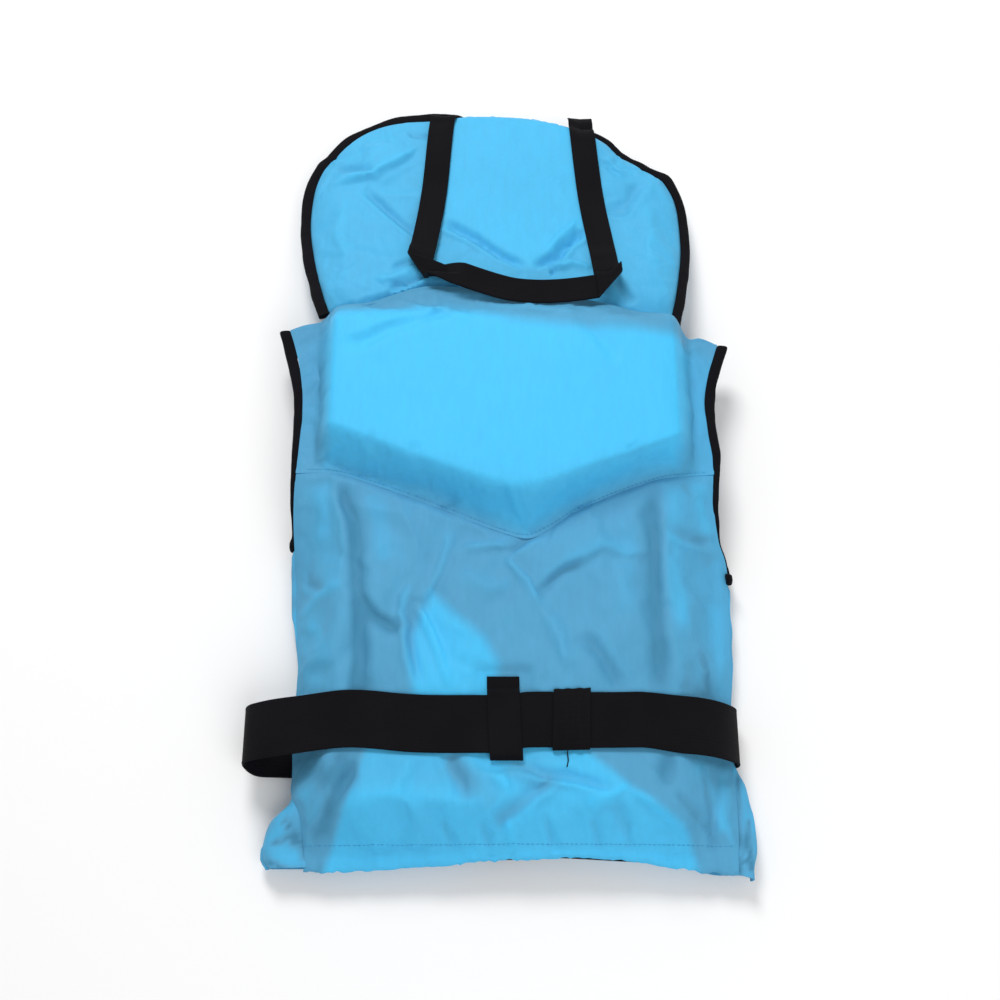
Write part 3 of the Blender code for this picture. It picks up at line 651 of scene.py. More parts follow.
def weave(tree, u, v, pitch_u, pitch_v):
    """Over-and-under threads from 0 to 1."""
    a = calc(tree, "SINE", calc(tree, "MULTIPLY", u, math.pi / pitch_u))
    b = calc(tree, "SINE", calc(tree, "MULTIPLY", v, math.pi / pitch_v))
    both = calc(tree, "MULTIPLY", a, b)
    return calc(tree, "MULTIPLY_ADD", both, 0.5, 0.5)


def nylon(name, dark, plain, bright, roughness=0.55, sheen=0.04):
    """Thin coated nylon: dull where it hangs free, bright where pale foam is behind it.

    The foam share, with painted light and shade added to it, is 0 in painted shade, PLAIN in single cloth and
    1 over foam.
    """
    made, tree, shader = nodes_of(name)
    # the third value is the foam share with painted light and shade added to it
    u, v, foam = lay_of(tree)
    wide = object_noise(tree, 9.0, 4.0, 0.55)
    fine = object_noise(tree, 220.0, 3.0, 0.6, (1.0, 0.25, 1.0))
    share = calc(tree, "MULTIPLY_ADD", calc(tree, "SUBTRACT", wide, 0.5), 0.14, foam)
    ramp = add_node(tree, "ShaderNodeValToRGB")
    ramp.color_ramp.elements[0].position = 0.0
    ramp.color_ramp.elements[0].color = (*dark, 1.0)
    ramp.color_ramp.elements[1].position = 1.0
    ramp.color_ramp.elements[1].color = (*bright, 1.0)
    middle = ramp.color_ramp.elements.new(PLAIN)
    middle.color = (*plain, 1.0)
    tree.links.new(share, ramp.inputs[0])
    base = ramp.outputs[0]
    streaks = calc(tree, "MULTIPLY", calc(tree, "SUBTRACT", fine, 0.5), 0.16)
    light = calc(tree, "MULTIPLY_ADD", calc(tree, "SUBTRACT", wide, 0.5), 0.10, 1.0)
    light = calc(tree, "ADD", light, streaks)
    threads = weave(tree, u, v, 0.00042, 0.00042)
    light = calc(tree, "MULTIPLY_ADD", calc(tree, "SUBTRACT", threads, 0.5), 0.10, light)
    scaled = add_node(tree, "ShaderNodeVectorMath", operation="SCALE")
    tree.links.new(base, scaled.inputs[0])
    tree.links.new(light, scaled.inputs["Scale"])
    tree.links.new(scaled.outputs[0], shader.inputs["Base Color"])
    rough = calc(tree, "MULTIPLY_ADD", calc(tree, "SUBTRACT", fine, 0.5), 0.20, roughness)
    tree.links.new(rough, shader.inputs["Roughness"])
    shader.inputs["Sheen Weight"].default_value = sheen
    shader.inputs["Sheen Roughness"].default_value = 0.4
    shader.inputs["Sheen Tint"].default_value = (0.45, 0.8, 1.0, 1.0)
    shader.inputs["Specular IOR Level"].default_value = 0.16
    height = calc(tree, "MULTIPLY_ADD", fine, 0.8, threads)
    bump(tree, shader, height, 0.00012, 0.5)
    return made


def woven(name, dark, light, pitch_u, pitch_v, roughness=0.8, sheen=0.02, depth=0.00025):
    """Webbing and binding tape with ribs along and across."""
    made, tree, shader = nodes_of(name)
    u, v, _ = lay_of(tree)
    threads = weave(tree, u, v, pitch_u, pitch_v)
    rib = calc(tree, "SINE", calc(tree, "MULTIPLY", u, 2 * math.pi / (pitch_u * 4)))
    fuzz = object_noise(tree, 900.0, 3.0, 0.7)
    wide = object_noise(tree, 30.0, 3.0, 0.5)
    tone = calc(tree, "MULTIPLY_ADD", calc(tree, "SUBTRACT", fuzz, 0.5), 0.9, threads)
    tone = calc(tree, "MULTIPLY_ADD", calc(tree, "SUBTRACT", wide, 0.5), 0.7, tone)
    base = mix_colour(tree, calc(tree, "MINIMUM", calc(tree, "MAXIMUM", tone, 0.0), 1.0), dark, light)
    tree.links.new(base, shader.inputs["Base Color"])
    rough = calc(tree, "MULTIPLY_ADD", calc(tree, "SUBTRACT", fuzz, 0.5), 0.3, roughness)
    tree.links.new(rough, shader.inputs["Roughness"])
    shader.inputs["Sheen Weight"].default_value = sheen
    shader.inputs["Sheen Roughness"].default_value = 0.5
    shader.inputs["Specular IOR Level"].default_value = 0.07
    height = calc(tree, "MULTIPLY_ADD", rib, 0.35, threads)
    height = calc(tree, "MULTIPLY_ADD", fuzz, 0.5, height)
    bump(tree, shader, height, depth, 0.7)
    return made


def moulded(name, dark, light, roughness=0.36):
    """Moulded black plastic with a fine satin grain and rubbed spots."""
    made, tree, shader = nodes_of(name)
    grain = object_noise(tree, 1400.0, 2.0, 0.5)
    wide = object_noise(tree, 60.0, 4.0, 0.6)
    base = mix_colour(tree, wide, dark, light)
    tree.links.new(base, shader.inputs["Base Color"])
    rough = calc(tree, "MULTIPLY_ADD", calc(tree, "SUBTRACT", wide, 0.5), 0.28, roughness)
    tree.links.new(rough, shader.inputs["Roughness"])
    bump(tree, shader, grain, 0.00006, 0.5)
    return made


def reflective_tape(name):
    """Grey glass-bead tape with a fine hexagon-like seal pattern."""
    made, tree, shader = nodes_of(name)
    where = add_node(tree, "ShaderNodeTexCoord")
    cells = add_node(tree, "ShaderNodeTexVoronoi", feature="DISTANCE_TO_EDGE")
    cells.inputs["Scale"].default_value = 330.0
    cells.inputs["Randomness"].default_value = 0.12
    tree.links.new(where.outputs["Object"], cells.inputs["Vector"])
    line = calc(tree, "LESS_THAN", cells.outputs["Distance"], 0.09)
    wide = object_noise(tree, 50.0, 3.0, 0.5)
    base = mix_colour(tree, line, (0.62, 0.64, 0.66), (0.36, 0.38, 0.40))
    base = mix_colour(tree, calc(tree, "MULTIPLY", wide, 0.25), base, (0.45, 0.47, 0.5))
    tree.links.new(base, shader.inputs["Base Color"])
    rough = calc(tree, "MULTIPLY_ADD", wide, 0.25, 0.25)
    tree.links.new(rough, shader.inputs["Roughness"])
    shader.inputs["Metallic"].default_value = 0.25
    bump(tree, shader, cells.outputs["Distance"], 0.0002, 0.5)
    return made


PLAIN = 0.3
BLUE_DARK = (0.058, 0.250, 0.420)
BLUE_PLAIN = (0.088, 0.345, 0.570)
BLUE_BRIGHT = (0.068, 0.545, 0.930)
YOKE_CLOTH = nylon("yoke_nylon", BLUE_DARK, BLUE_PLAIN, BLUE_BRIGHT)
BACK_CLOTH = nylon("back_nylon", BLUE_DARK, BLUE_PLAIN, BLUE_BRIGHT, 0.58, 0.03)
LINING_CLOTH = nylon(
    "lining_nylon", (0.04, 0.18, 0.33), (0.055, 0.260, 0.450), (0.055, 0.340, 0.600), 0.62, 0.02
)
WEBBING = woven("webbing_black", (0.0022, 0.0020, 0.0028), (0.0080, 0.0076, 0.0100), 0.00055, 0.0009)
BINDING = woven("binding_black", (0.0022, 0.0020, 0.0030), (0.0090, 0.0084, 0.0115), 0.00045, 0.0006)
ELASTIC = woven("elastic_black", (0.0024, 0.0023, 0.0028), (0.0090, 0.0086, 0.0105), 0.0009, 0.0004, 0.82)
TAPE = woven("zip_tape_black", (0.0030, 0.0030, 0.0036), (0.0090, 0.0090, 0.0105), 0.0004, 0.0004)
PLASTIC = moulded("plastic_black", (0.0085, 0.0085, 0.0095), (0.0170, 0.0170, 0.0190))
REFLECTIVE = reflective_tape("reflective_tape")
THREAD_BLACK = woven("thread_black", (0.007, 0.007, 0.008), (0.020, 0.020, 0.023), 0.0002, 0.0004, 0.7)
THREAD_BLUE = woven("thread_blue", (0.050, 0.300, 0.560), (0.100, 0.480, 0.800), 0.0002, 0.0004, 0.6)

MADE = []


def keep(obj, body, slot, *replaced):
    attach(obj, body)
    if replaced:
        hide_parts(*replaced)
    MADE.append(obj)
    return obj


# ---------------------------------------------------------------- the lower back and its hem

# folds placed after the photograph, in millimetres: (points, width, height, lean, taper)
BACK_VALLEYS = [
    ([(-115, -28), (-102, -62), (-95, -130), (-93, -215)], 5.5, -2.6, 0.2, 0.12),
    ([(-98, -118), (-84, -131), (-65, -142)], 4.5, -1.8, -0.4),
    ([(-61, -128), (-60, -150), (-55, -180)], 2.4, -1.5, 0.3),
    ([(108, -40), (107, -110), (106, -180)], 6.5, -2.6, -0.2, 0.14),
    ([(134, -146), (139, -168), (143, -192)], 3.0, -2.0, 0.8),
    ([(58, -138), (71, -160), (84, -184)], 4.2, -1.9, -0.7),
    ([(-138, -95), (-130, -104), (-120, -112)], 2.6, -2.0, 0.8),
    ([(127, -30), (131, -36), (136, -42)], 2.2, -1.2, 0.6),
    ([(144, -38), (146, -46), (148, -56)], 2.0, -1.4, 0.6),
    ([(116, -66), (130, -71), (150, -72)], 3.4, -1.6, 0.8),
    ([(25, -115), (35, -103), (60, -90)], 3.0, -1.6, -0.7),
    ([(30, -69), (18, -77), (4, -86)], 2.6, -1.8, -0.9),
    ([(-27, -48), (-18, -58), (-4, -64)], 2.4, -1.2, 0.6),
]
BACK_RIDGES = [
    ([(-61, -99), (-66, -130), (-62, -160), (-52, -186)], 2.4, 2.4, -0.3),
    ([(-58, -119), (-44, -152), (-32, -184)], 2.2, 2.8, 0.6),
    ([(-56, -124), (-42, -98), (-34, -64)], 3.4, 1.6, 0.2),
    ([(-140, -124), (-122, -112), (-104, -108)], 3.6, 1.6, 0.3),
    ([(-137, -124), (-124, -146), (-118, -168)], 4.0, 1.6, 0.4),
    ([(-130, -29), (-128, -50), (-128, -80)], 5.5, 1.5, 0.0),
    ([(-50, -43), (-36, -48), (-24, -62)], 2.6, 1.7, 0.4),
    ([(-10, -55), (6, -50), (14, -70)], 2.6, 1.3, 0.2),
    ([(-29, -80), (-10, -79), (8, -79)], 3.0, 1.5, 0.2),
    ([(2, -84), (20, -106), (29, -124)], 2.6, 1.7, -0.4),
    ([(40, -94), (70, -80), (104, -86)], 5.0, 1.6, 0.2),
    ([(10, -106), (-10, -108), (-28, -101)], 6.0, 1.1, 0.0),
    ([(33, -126), (40, -146), (46, -170)], 5.0, 1.1, 0.2),
    ([(92, -52), (88, -100), (86, -140)], 7.0, 1.0, 0.0),
    ([(124, -80), (126, -120), (124, -150)], 6.0, 1.3, 0.0),
]
HEM_FOLDS = [
    ([(-10, -219), (-3, -237), (6, -252)], 3.2, 2.2, 0.4),
    ([(-1, -226), (25, -238), (75, -249)], 2.8, -2.4, 0.8),
    ([(84, -243), (70, -253), (55, -262)], 3.0, 2.2, -0.4),
    ([(82, -245), (100, -260), (125, -273)], 3.2, 1.9, 0.4),
    ([(38, -241), (15, -258), (-7, -269)], 4.4, -2.6, -0.6),
    ([(110, -248), (120, -258), (132, -268)], 2.6, -1.6, 0.5),
    ([(133, -230), (138, -255), (139, -277)], 3.0, -2.0, 0.2),
    ([(150, -224), (149, -252), (144, -279)], 4.2, 2.6, 0.2),
    ([(-108, -218), (-120, -235), (-138, -252)], 4.6, 2.8, 0.2),
    ([(-96, -224), (-104, -254), (-124, -277)], 4.8, -2.6, 0.3),
    ([(-150, -263), (-130, -275), (-126, -290)], 3.0, -2.8, -0.7),
    ([(-36, -219), (-27, -240), (-20, -258)], 5.0, -2.4, 0.3),
    ([(-21, -216), (-8, -234), (7, -247)], 3.2, 2.2, -0.3),
    ([(-60, -222), (-62, -240), (-70, -262)], 8.0, 1.2, 0.0),
    ([(110, -222), (106, -236), (104, -246)], 5.0, -1.6, 0.3),
    ([(74, -254), (77, -262), (80, -276)], 5.0, -1.9, 0.0),
]
# small gathers drawn in along the hem: the x where each one starts, and its height
GATHERS = (
    (-38, -1.8), (-14, -1.8), (2, 1.6), (28, -1.9), (58, -1.9), (78, -1.7), (134, -2.2), (146, 1.8)
)
HEM_FOLDS += [([(x, -264), (x + 4, -275), (x + 6, -286)], 2.4, height, 0.3) for x, height in GATHERS]

# painted shade along fold valleys and under the belt, then painted light beside the folds: (points, width,
# how much)
PAINTED_SHADE_LINES = [
    ([(-116, -24), (-102, -62), (-95, -130), (-93, -190)], 5.5, 0.30),
    ([(-98, -116), (-84, -130), (-66, -142)], 5.0, 0.22),
    ([(108, -30), (107, -110), (106, -190)], 6.5, 0.24),
    ([(136, -66), (140, -73), (150, -84)], 7.0, 0.12),
    ([(-104, -219), (-101, -240), (-112, -262), (-124, -280)], 5.0, 0.18),
    ([(-132, -226), (-118, -236), (-100, -240), (-88, -238)], 9.0, 0.26),
    ([(-36, -228), (-20, -240), (-2, -258)], 7.0, 0.26),
    ([(4, -232), (20, -240), (34, -243)], 5.0, 0.18),
    ([(112, -222), (106, -232), (100, -238)], 6.0, 0.16),
    ([(-32, -222), (-24, -240), (-18, -256)], 5.0, 0.20),
    ([(40, -241), (14, -257), (-6, -268)], 5.0, 0.22),
]
LIT = [
    ([(-124, -24), (-121, -58), (-120, -95), (-122, -118)], 14.0, 0.15),
    ([(-139, -112), (-132, -128), (-128, -150), (-126, -184)], 12.0, 0.14),
    ([(-90, -38), (-84, -60), (-79, -92)], 7.0, 0.14),
    ([(124, -30), (121, -52), (118, -100), (124, -140)], 8.0, 0.16),
    ([(140, -28), (143, -50), (147, -66)], 6.0, 0.16),
    ([(150, -110), (152, -150), (150, -184)], 6.0, 0.12),
    ([(-118, -228), (-124, -248), (-114, -272)], 7.0, 0.14),
    ([(128, -226), (140, -246), (147, -272)], 6.0, 0.16),
]
FOAM_PATCH = [(-46, -114), (-10, -148), (-1, -164), (-4, -200), (-56, -200), (-60, -143)]
FOAM_HEM = [(-80, -200), (30, -200), (86, -247), (122, -272), (130, -300), (-116, -300)]


def shaded(mask, x, y, rows, sign):
    """The foam share with soft lines of painted light laid on it for sign 1 and painted shade for -1."""
    for line, width, amount in rows:
        d, part, _ = nearest(x, y, line)
        ends = smooth(0, 0.1, part) * smooth(0, 0.1, 1 - part)
        mask = mask + sign * amount * np.exp(-((d / width) ** 2)) * ends
    return mask


def crumple(x, y, seed, amount):
    """Small soft wrinkles of thin cloth, longer one way than the other."""
    warp = 5.0 * noise(x, y, 34.0, seed + 5)
    a = 1.0 - np.abs(noise(x * 0.9 + y * 0.35 + warp, y * 0.5 - x * 0.2, 15.0, seed)) * 2.0
    b = 1.0 - np.abs(noise(x * 0.5 - y * 0.4, y * 0.9 + x * 0.3 + warp, 21.0, seed + 1)) * 2.0
    soft = layered(x, y, 46.0, seed + 2, 2)
    return amount * (0.35 * a + 0.40 * b + 0.9 * soft)


HEM_FOLD_Y = edge(
    [(-150, -295.5), (-118, -296.5), (-64, -293.6), (0, -290.0), (50, -287.6), (84, -289.6),
     (120, -294.8), (160, -299.0)]
)


def back_roof(x, y):
    """How high the lower back may rise: free in the open, held down by the belt and keeper."""
    open_cloth = back_over(x, y) + 6.0
    belt_wide = belt_band(y, 21.5, 5)
    roof = open_cloth * (1 - belt_wide) + 45.2 * belt_wide
    keeper = belt_band(y - 4.0, 31, 9) * smooth(-24, -11, x) * (1 - smooth(17, 30, x))
    roof = roof * (1 - keeper) + np.minimum(roof, 43.3) * keeper
    return np.maximum(roof, back_under(x, y) + 2.2)


def lower_back():
    """The thin lower back, turned under at its hem around the elastic."""
    cols = 156
    rows = 112
    u = np.linspace(0, 1, cols)[None, :]
    top_y = seam_line(-150 + 308 * u) - 0.1
    share = np.linspace(0, 1, rows)[:, None]
    y = HEM_Y + (top_y - HEM_Y) * share
    x = SIDE_LEFT(y) + (SIDE_RIGHT(y) - SIDE_LEFT(y)) * u
    calm = smooth(0, 9, y - HEM_Y) * smooth(0, 7, top_y - y)
    calm = calm * smooth(0, 6, x - SIDE_LEFT(y)) * smooth(0, 6, SIDE_RIGHT(y) - x)
    under_belt = belt_band(y, 17, 6)
    press = 1.0 - 0.85 * under_belt
    z = back_over(x, y) + 2.2 * press * calm
    wrinkles = 1.9 * folds(x, y, BACK_VALLEYS + BACK_RIDGES + HEM_FOLDS) + crumple(x, y, 11, 0.75)
    shade = np.clip(wrinkles / 4.0, -1, 1) * (0.3 + 0.7 * calm)
    z = z + wrinkles * press * (0.15 + 0.85 * calm)
    z = np.clip(z, back_under(x, y) + 1.9, back_roof(x, y))
    held = np.zeros(z.shape)
    held[:2, :] = held[-2:, :] = 1.0
    held[:, :2] = held[:, -2:] = 1.0
    held = np.maximum(held, 0.9 * under_belt)
    p = settle(np.stack([x, y, z], axis=-1), held, 12, 0.028, 0.0, 4.5)
    x, y, z = p[..., 0], p[..., 1], p[..., 2]
    z = np.clip(z, back_under(x, y) + 1.9, back_roof(x, y))
    for _ in range(3):
        around = (z[:-2, 1:-1] + z[2:, 1:-1] + z[1:-1, :-2] + z[1:-1, 2:]) / 4
        z[1:-1, 1:-1] = 0.4 * z[1:-1, 1:-1] + 0.6 * around
    # the hem: the cloth runs on, turns under and comes back to the stitch line
    turns = 15
    out_y = HEM_FOLD_Y(x[0])
    gather = np.abs(noise(x[0], 0 * x[0], 7.0, 61)) + 0.6 * np.abs(noise(x[0], 0 * x[0] + 9, 3.4, 62))
    pull = 0.5 + 0.9 * smooth(60, 150, np.abs(x[0] - 4)) + 0.5 * np.exp(-(((x[0] + 2) / 34) ** 2))
    out_y = out_y + 1.5 * gather * pull
    x_rows, y_rows, z_rows = [], [], []
    for k in range(1, turns):
        t = k / (turns - 1)
        a = math.pi * t
        sweep_y = HEM_Y + (out_y - HEM_Y) * math.sin(min(a, math.pi - a)) ** 0.8
        swell = 3.0 + 0.9 * noise(x[0], 0 * x[0] + 3 * t, 6.0, 64) * pull
        swell = swell - 1.3 * np.exp(-(((x[0] - ZIP_X) / 16) ** 2))
        mid = z[0] - 3.0
        zz = mid + swell * math.cos(a)
        zz = zz + 0.5 * pull * noise(x[0], 0 * x[0] + 20 * t, 5.0, 66) * math.sin(a)
        x_rows.append(x[0] + 0.8 * pull * noise(x[0], 0 * x[0] + 12 * t, 8.0, 65) * math.sin(a))
        y_rows.append(sweep_y)
        z_rows.append(zz)
    x = np.vstack([np.array(x_rows[::-1]), x])
    y = np.vstack([np.array(y_rows[::-1]), y])
    z = np.vstack([np.array(z_rows[::-1]), z])
    foam = 0.62 * inside(x, y, FOAM_PATCH, 6.0)
    foam = np.maximum(foam, 0.58 * inside(x, y, FOAM_HEM, 3.6))
    shade = np.vstack([np.tile(shade[:1], (turns - 1, 1)), shade])
    # painted shade in wrinkle valleys and painted light on their ridges, a painted shadow under the belt,
    # painted light toward the right side, then painted light and painted shade along the listed lines
    shadow = smooth(-252, -238, y) * (1 - smooth(-226, -214, y)) * (1 - smooth(20, 60, x))
    mask = PLAIN + foam + 0.16 * shade - 0.14 * shadow + 0.10 * smooth(95, 145, x) * smooth(-190, -120, y)
    mask = shaded(mask, x, y, LIT, 1)
    mask = shaded(mask, x, y, PAINTED_SHADE_LINES, -1)
    p = np.stack([x, y, z], axis=-1)
    run = np.arange(len(x))[:, None] * ROW_PITCH + 0 * x
    obj = shell("lower_back_cloth", BACK_CLOTH, p, p - normals(p) * FABRIC, x, run, mask)
    return keep(obj, "jacket", "thin_nylon", "lower_back_panel", "hem_casing")


lower = lower_back()


def hem_elastic():
    """The flat elastic in the hem, seen at its two open ends."""
    x = np.arange(-126.0, 153.0, 2.0)
    y = HEM_Y - 1.0 - 3.8 * smooth(0, 110, np.abs(x - 5)) + 2.0 * smooth(10, 45, x) * (1 - smooth(95, 125, x))
    line = np.column_stack([x, y, HEM_Z(x) + 0.6])
    across = np.tile([0.0, 1.0, 0.0], (len(x), 1))
    obj = band("hem_elastic_band", ELASTIC, line, across, 6.0, 1.3, 68, 0.1)
    return keep(obj, "jacket", "elastic", "hem_elastic")


# ---------------------------------------------------------------- the yoke

YOKE_BRIGHT = [(-127, 99), (-127, 20), (-118, 2), (-84, -9), (-58, -19.5), (-32, -29), (-14, -37), (14, -43),
               (41, -35), (69, -27), (97, -18), (121, -8), (130, 4), (134, 24), (134, 72), (98, 80), (58, 82),
               (17, 87), (-20, 96), (-60, 100)]
YOKE_TEAL = [(-128, 99), (-124, -16), (-103, -24), (-73, -35), (-49, -41), (-28, -51), (0, -62), (18, -69),
             (42, -55), (70, -40), (98, -27), (124, -19), (134, 4), (136, 72), (98, 80), (58, 82),
             (17, 87), (-20, 96), (-60, 100)]
YOKE_FOLDS = [
    ([(-26, 104), (-70, 83), (-115, 62)], 5.0, -1.8, 0.6),
    ([(-40, 92), (-74, 76), (-106, 56)], 7.0, 1.0, 0.0),
    ([(52, 94), (68, 75), (84, 50)], 5.0, -1.0, 0.5),
    ([(-126, -14), (-103, -22), (-73, -31), (-49, -38), (-26, -50)], 3.4, -1.5, 0.4, 0.1),
    ([(40, -54), (70, -38), (98, -25), (122, -16)], 3.4, -1.5, 0.4, 0.1),
    ([(-96, -6), (-86, -16), (-78, -26)], 4.0, -1.0, 0.4),
    ([(44, -38), (52, -46), (58, -50)], 4.0, -0.9, 0.4),
    ([(88, -14), (94, -20), (98, -26)], 4.0, -1.0, 0.3),
    ([(-18, 88), (-52, 104), (-76, 108)], 4.0, 1.2, 0.4),
    ([(10, 118), (26, 104), (58, 96)], 4.5, 1.2, 0.2),
    ([(58, 112), (82, 96), (104, 90)], 4.5, -1.3, 0.4),
    ([(-104, 108), (-84, 102), (-60, 104)], 3.5, -1.2, 0.4),
    ([(-141, 82), (-134, 60), (-131, 20), (-133, -20)], 3.4, -1.3, 0.3),
    ([(146, 70), (140, 40), (139, 0), (141, -24)], 3.4, -1.2, -0.3),
    ([(-30, -42), (-40, -50), (-44, -58)], 3.0, -1.2, 0.5),
    ([(-64, -12), (-56, -26), (-46, -38)], 5.0, -0.8, 0.4),
    ([(4, -40), (10, -56), (13, -70)], 4.0, 1.0, 0.3),
    ([(-12, 110), (8, 104), (30, 106)], 3.5, 1.0, 0.0),
    ([(56, 108), (66, 100), (84, 98)], 3.5, 1.0, 0.3),
    ([(-66, 106), (-50, 98), (-30, 100)], 3.5, 1.0, 0.2),
]


def yoke_top(x, y):
    """The yoke's cloth: it follows the foam's rounded sides and bridges from the foam to the seam."""
    near_seam = smooth(16, 0, y - seam_line(x))
    soft = 1.6 * layered(x, y, 40.0, 36, 2) * (1 - yoke_fill(x, y))
    return back_over(x, y) + soft * (1 - near_seam)


def yoke():
    """The padded yoke: cloth tight over foam, flat at its seams."""
    cols = 160
    rows = 96
    u = np.linspace(0, 1, cols)[None, :]
    share = np.linspace(0, 1, rows)[:, None]
    seam = seam_line(-150 + 308 * u)
    low = seam - 1.6
    high = YOKE_TOP(-157 + 320 * u)
    y = low + (high - low) * share
    x = SIDE_LEFT(y) + (SIDE_RIGHT(y) - SIDE_LEFT(y)) * u
    z = yoke_top(x, y)
    calm = smooth(0, 5, y - low) * smooth(0, 4, high - y)
    calm = calm * smooth(0, 5, x - SIDE_LEFT(y)) * smooth(0, 5, SIDE_RIGHT(y) - x)
    loose = 1.0 - 0.8 * yoke_fill(x, y)
    wrinkles = 1.5 * folds(x, y, YOKE_FOLDS) + crumple(x, y, 31, 0.45) * (0.35 + 0.65 * loose)
    z = z + wrinkles * (0.1 + 0.9 * calm)
    lip = smooth(10, 0, high - y)
    z = z - 3.0 * lip**2 * smooth(-118, -96, x) * (1 - smooth(100, 122, x))
    held = np.zeros(z.shape)
    held[:2, :] = held[-2:, :] = 1.0
    held[:, :2] = held[:, -2:] = 1.0
    held = np.maximum(held, 0.55 * smooth(0.75, 1.0, yoke_fill(x, y)))
    p = settle(np.stack([x, y, z], axis=-1), held, 10, 0.012, 0.0, 2.5)
    x, y, z = p[..., 0], p[..., 1], p[..., 2]
    lap = 1 - smooth(0, 7, y - low)
    z = z + 0.75 * lap + 0.25 * lap * noise(x, y, 5.0, 39)
    z = np.maximum(z, back_under(x, y) + 2.6)
    under = back_under(x, y) + 1.35
    on_seam = y < seam + 0.5
    under = np.where(on_seam, np.minimum(back_over(x, y) + 0.06, z - 0.4), under)
    bright = inside(x, y, YOKE_BRIGHT, 20.0)
    # painted light on fold ridges and painted shade in fold valleys, painted light toward the right side;
    # darker within 22 mm of the top edge
    mask = PLAIN + 0.02 - 0.12 * smooth(22, 6, high - y) + 0.48 * inside(x, y, YOKE_TEAL, 7.0) + 0.24 * bright
    mask = mask + 0.10 * np.clip(wrinkles / 3.0, -1, 1) * (1 - 0.6 * bright) + 0.14 * smooth(96, 136, x)
    obj = slab("yoke_cloth", YOKE_CLOTH, x, y, z, under, mask)
    return keep(obj, "jacket", "bright_nylon", "yoke_shell", "yoke_foam_inner", "yoke_foam_outer")


yoke_piece = yoke()


def lining():
    cols = 110
    rows = 120
    u = np.linspace(0, 1, cols)[None, :]
    share = np.linspace(0, 1, rows)[:, None]
    high = np.minimum(YOKE_TOP(-157 + 320 * u) - 9.0, 100.0)
    y = HEM_Y + 1.5 + (high - HEM_Y - 1.5) * share
    x = SIDE_LEFT(y) + 1 + (SIDE_RIGHT(y) - SIDE_LEFT(y) - 2) * u
    z = back_under(x, y)
    calm = smooth(0, 8, y - HEM_Y) * smooth(0, 8, high - y)
    sag = -0.7 * np.abs(layered(x, y, 30.0, 71, 3)) * calm
    z = z + sag
    obj = slab("back_lining_cloth", LINING_CLOTH, x, y, z + FABRIC, z, 0 * x + 0.3)
    return keep(obj, "jacket", "lining_nylon", "back_lining")


lining_piece = lining()

# ---------------------------------------------------------------- the collar

COLLAR_FOLDS = [
    ([(-48, 200), (-20, 180), (0, 161), (20, 150)], 3.4, -2.6, 0.7, 0.18),
    ([(-110, 232), (-86, 206), (-60, 180)], 3.2, -2.2, 0.6),
    ([(68, 190), (46, 163), (25, 150)], 3.2, -2.6, -0.7, 0.18),
    ([(65, 205), (48, 181), (32, 161)], 3.4, 1.5, 0.0),
    ([(36, 150), (54, 157), (72, 151)], 3.0, 2.2, -0.4),
    ([(34, 156), (40, 150), (38, 142)], 2.2, -1.5, 0.4),
    ([(-136, 254), (-118, 250), (-98, 246)], 3.4, -1.6, 0.6),
    ([(-138, 237), (-100, 245), (-62, 274)], 3.4, 1.9, 0.4),
    ([(-78, 288), (-66, 284), (-50, 280)], 3.2, -1.6, 0.4),
    ([(-84, 150), (-70, 155), (-58, 160)], 3.6, -1.5, 0.4),
    ([(-86, 130), (-70, 134), (-50, 147)], 3.0, -2.0, 0.7),
    ([(-96, 138), (-80, 142), (-66, 150)], 4.0, 1.4, 0.0),
    ([(90, 200), (103, 222), (116, 242)], 5.5, -1.6, 0.5),
    ([(82, 265), (90, 256), (101, 244)], 3.2, 1.5, 0.4),
    ([(84, 142), (90, 128), (99, 112)], 3.4, -1.8, 0.5),
    ([(-122, 226), (-126, 190), (-118, 150)], 6.0, 1.0, 0.2),
    ([(112, 226), (118, 190), (110, 140)], 6.0, 1.0, 0.2),
]
LOOP_LEFT = [(-44, 311), (-47, 292), (-52, 225), (-62, 146)]
LOOP_FOOT = [(-62, 146), (-36, 135), (4, 120), (26, 117), (50, 118), (82, 123)]
LOOP_RIGHT = [(82, 123), (78, 168), (71, 225), (66, 285), (65, 307)]
COLLAR_PAD = [
    (-50, 300), (-44, 195), (-18, 179), (2, 159), (22, 150), (45, 162), (67, 187), (80, 290),
    (48, 312), (-24, 312),
]


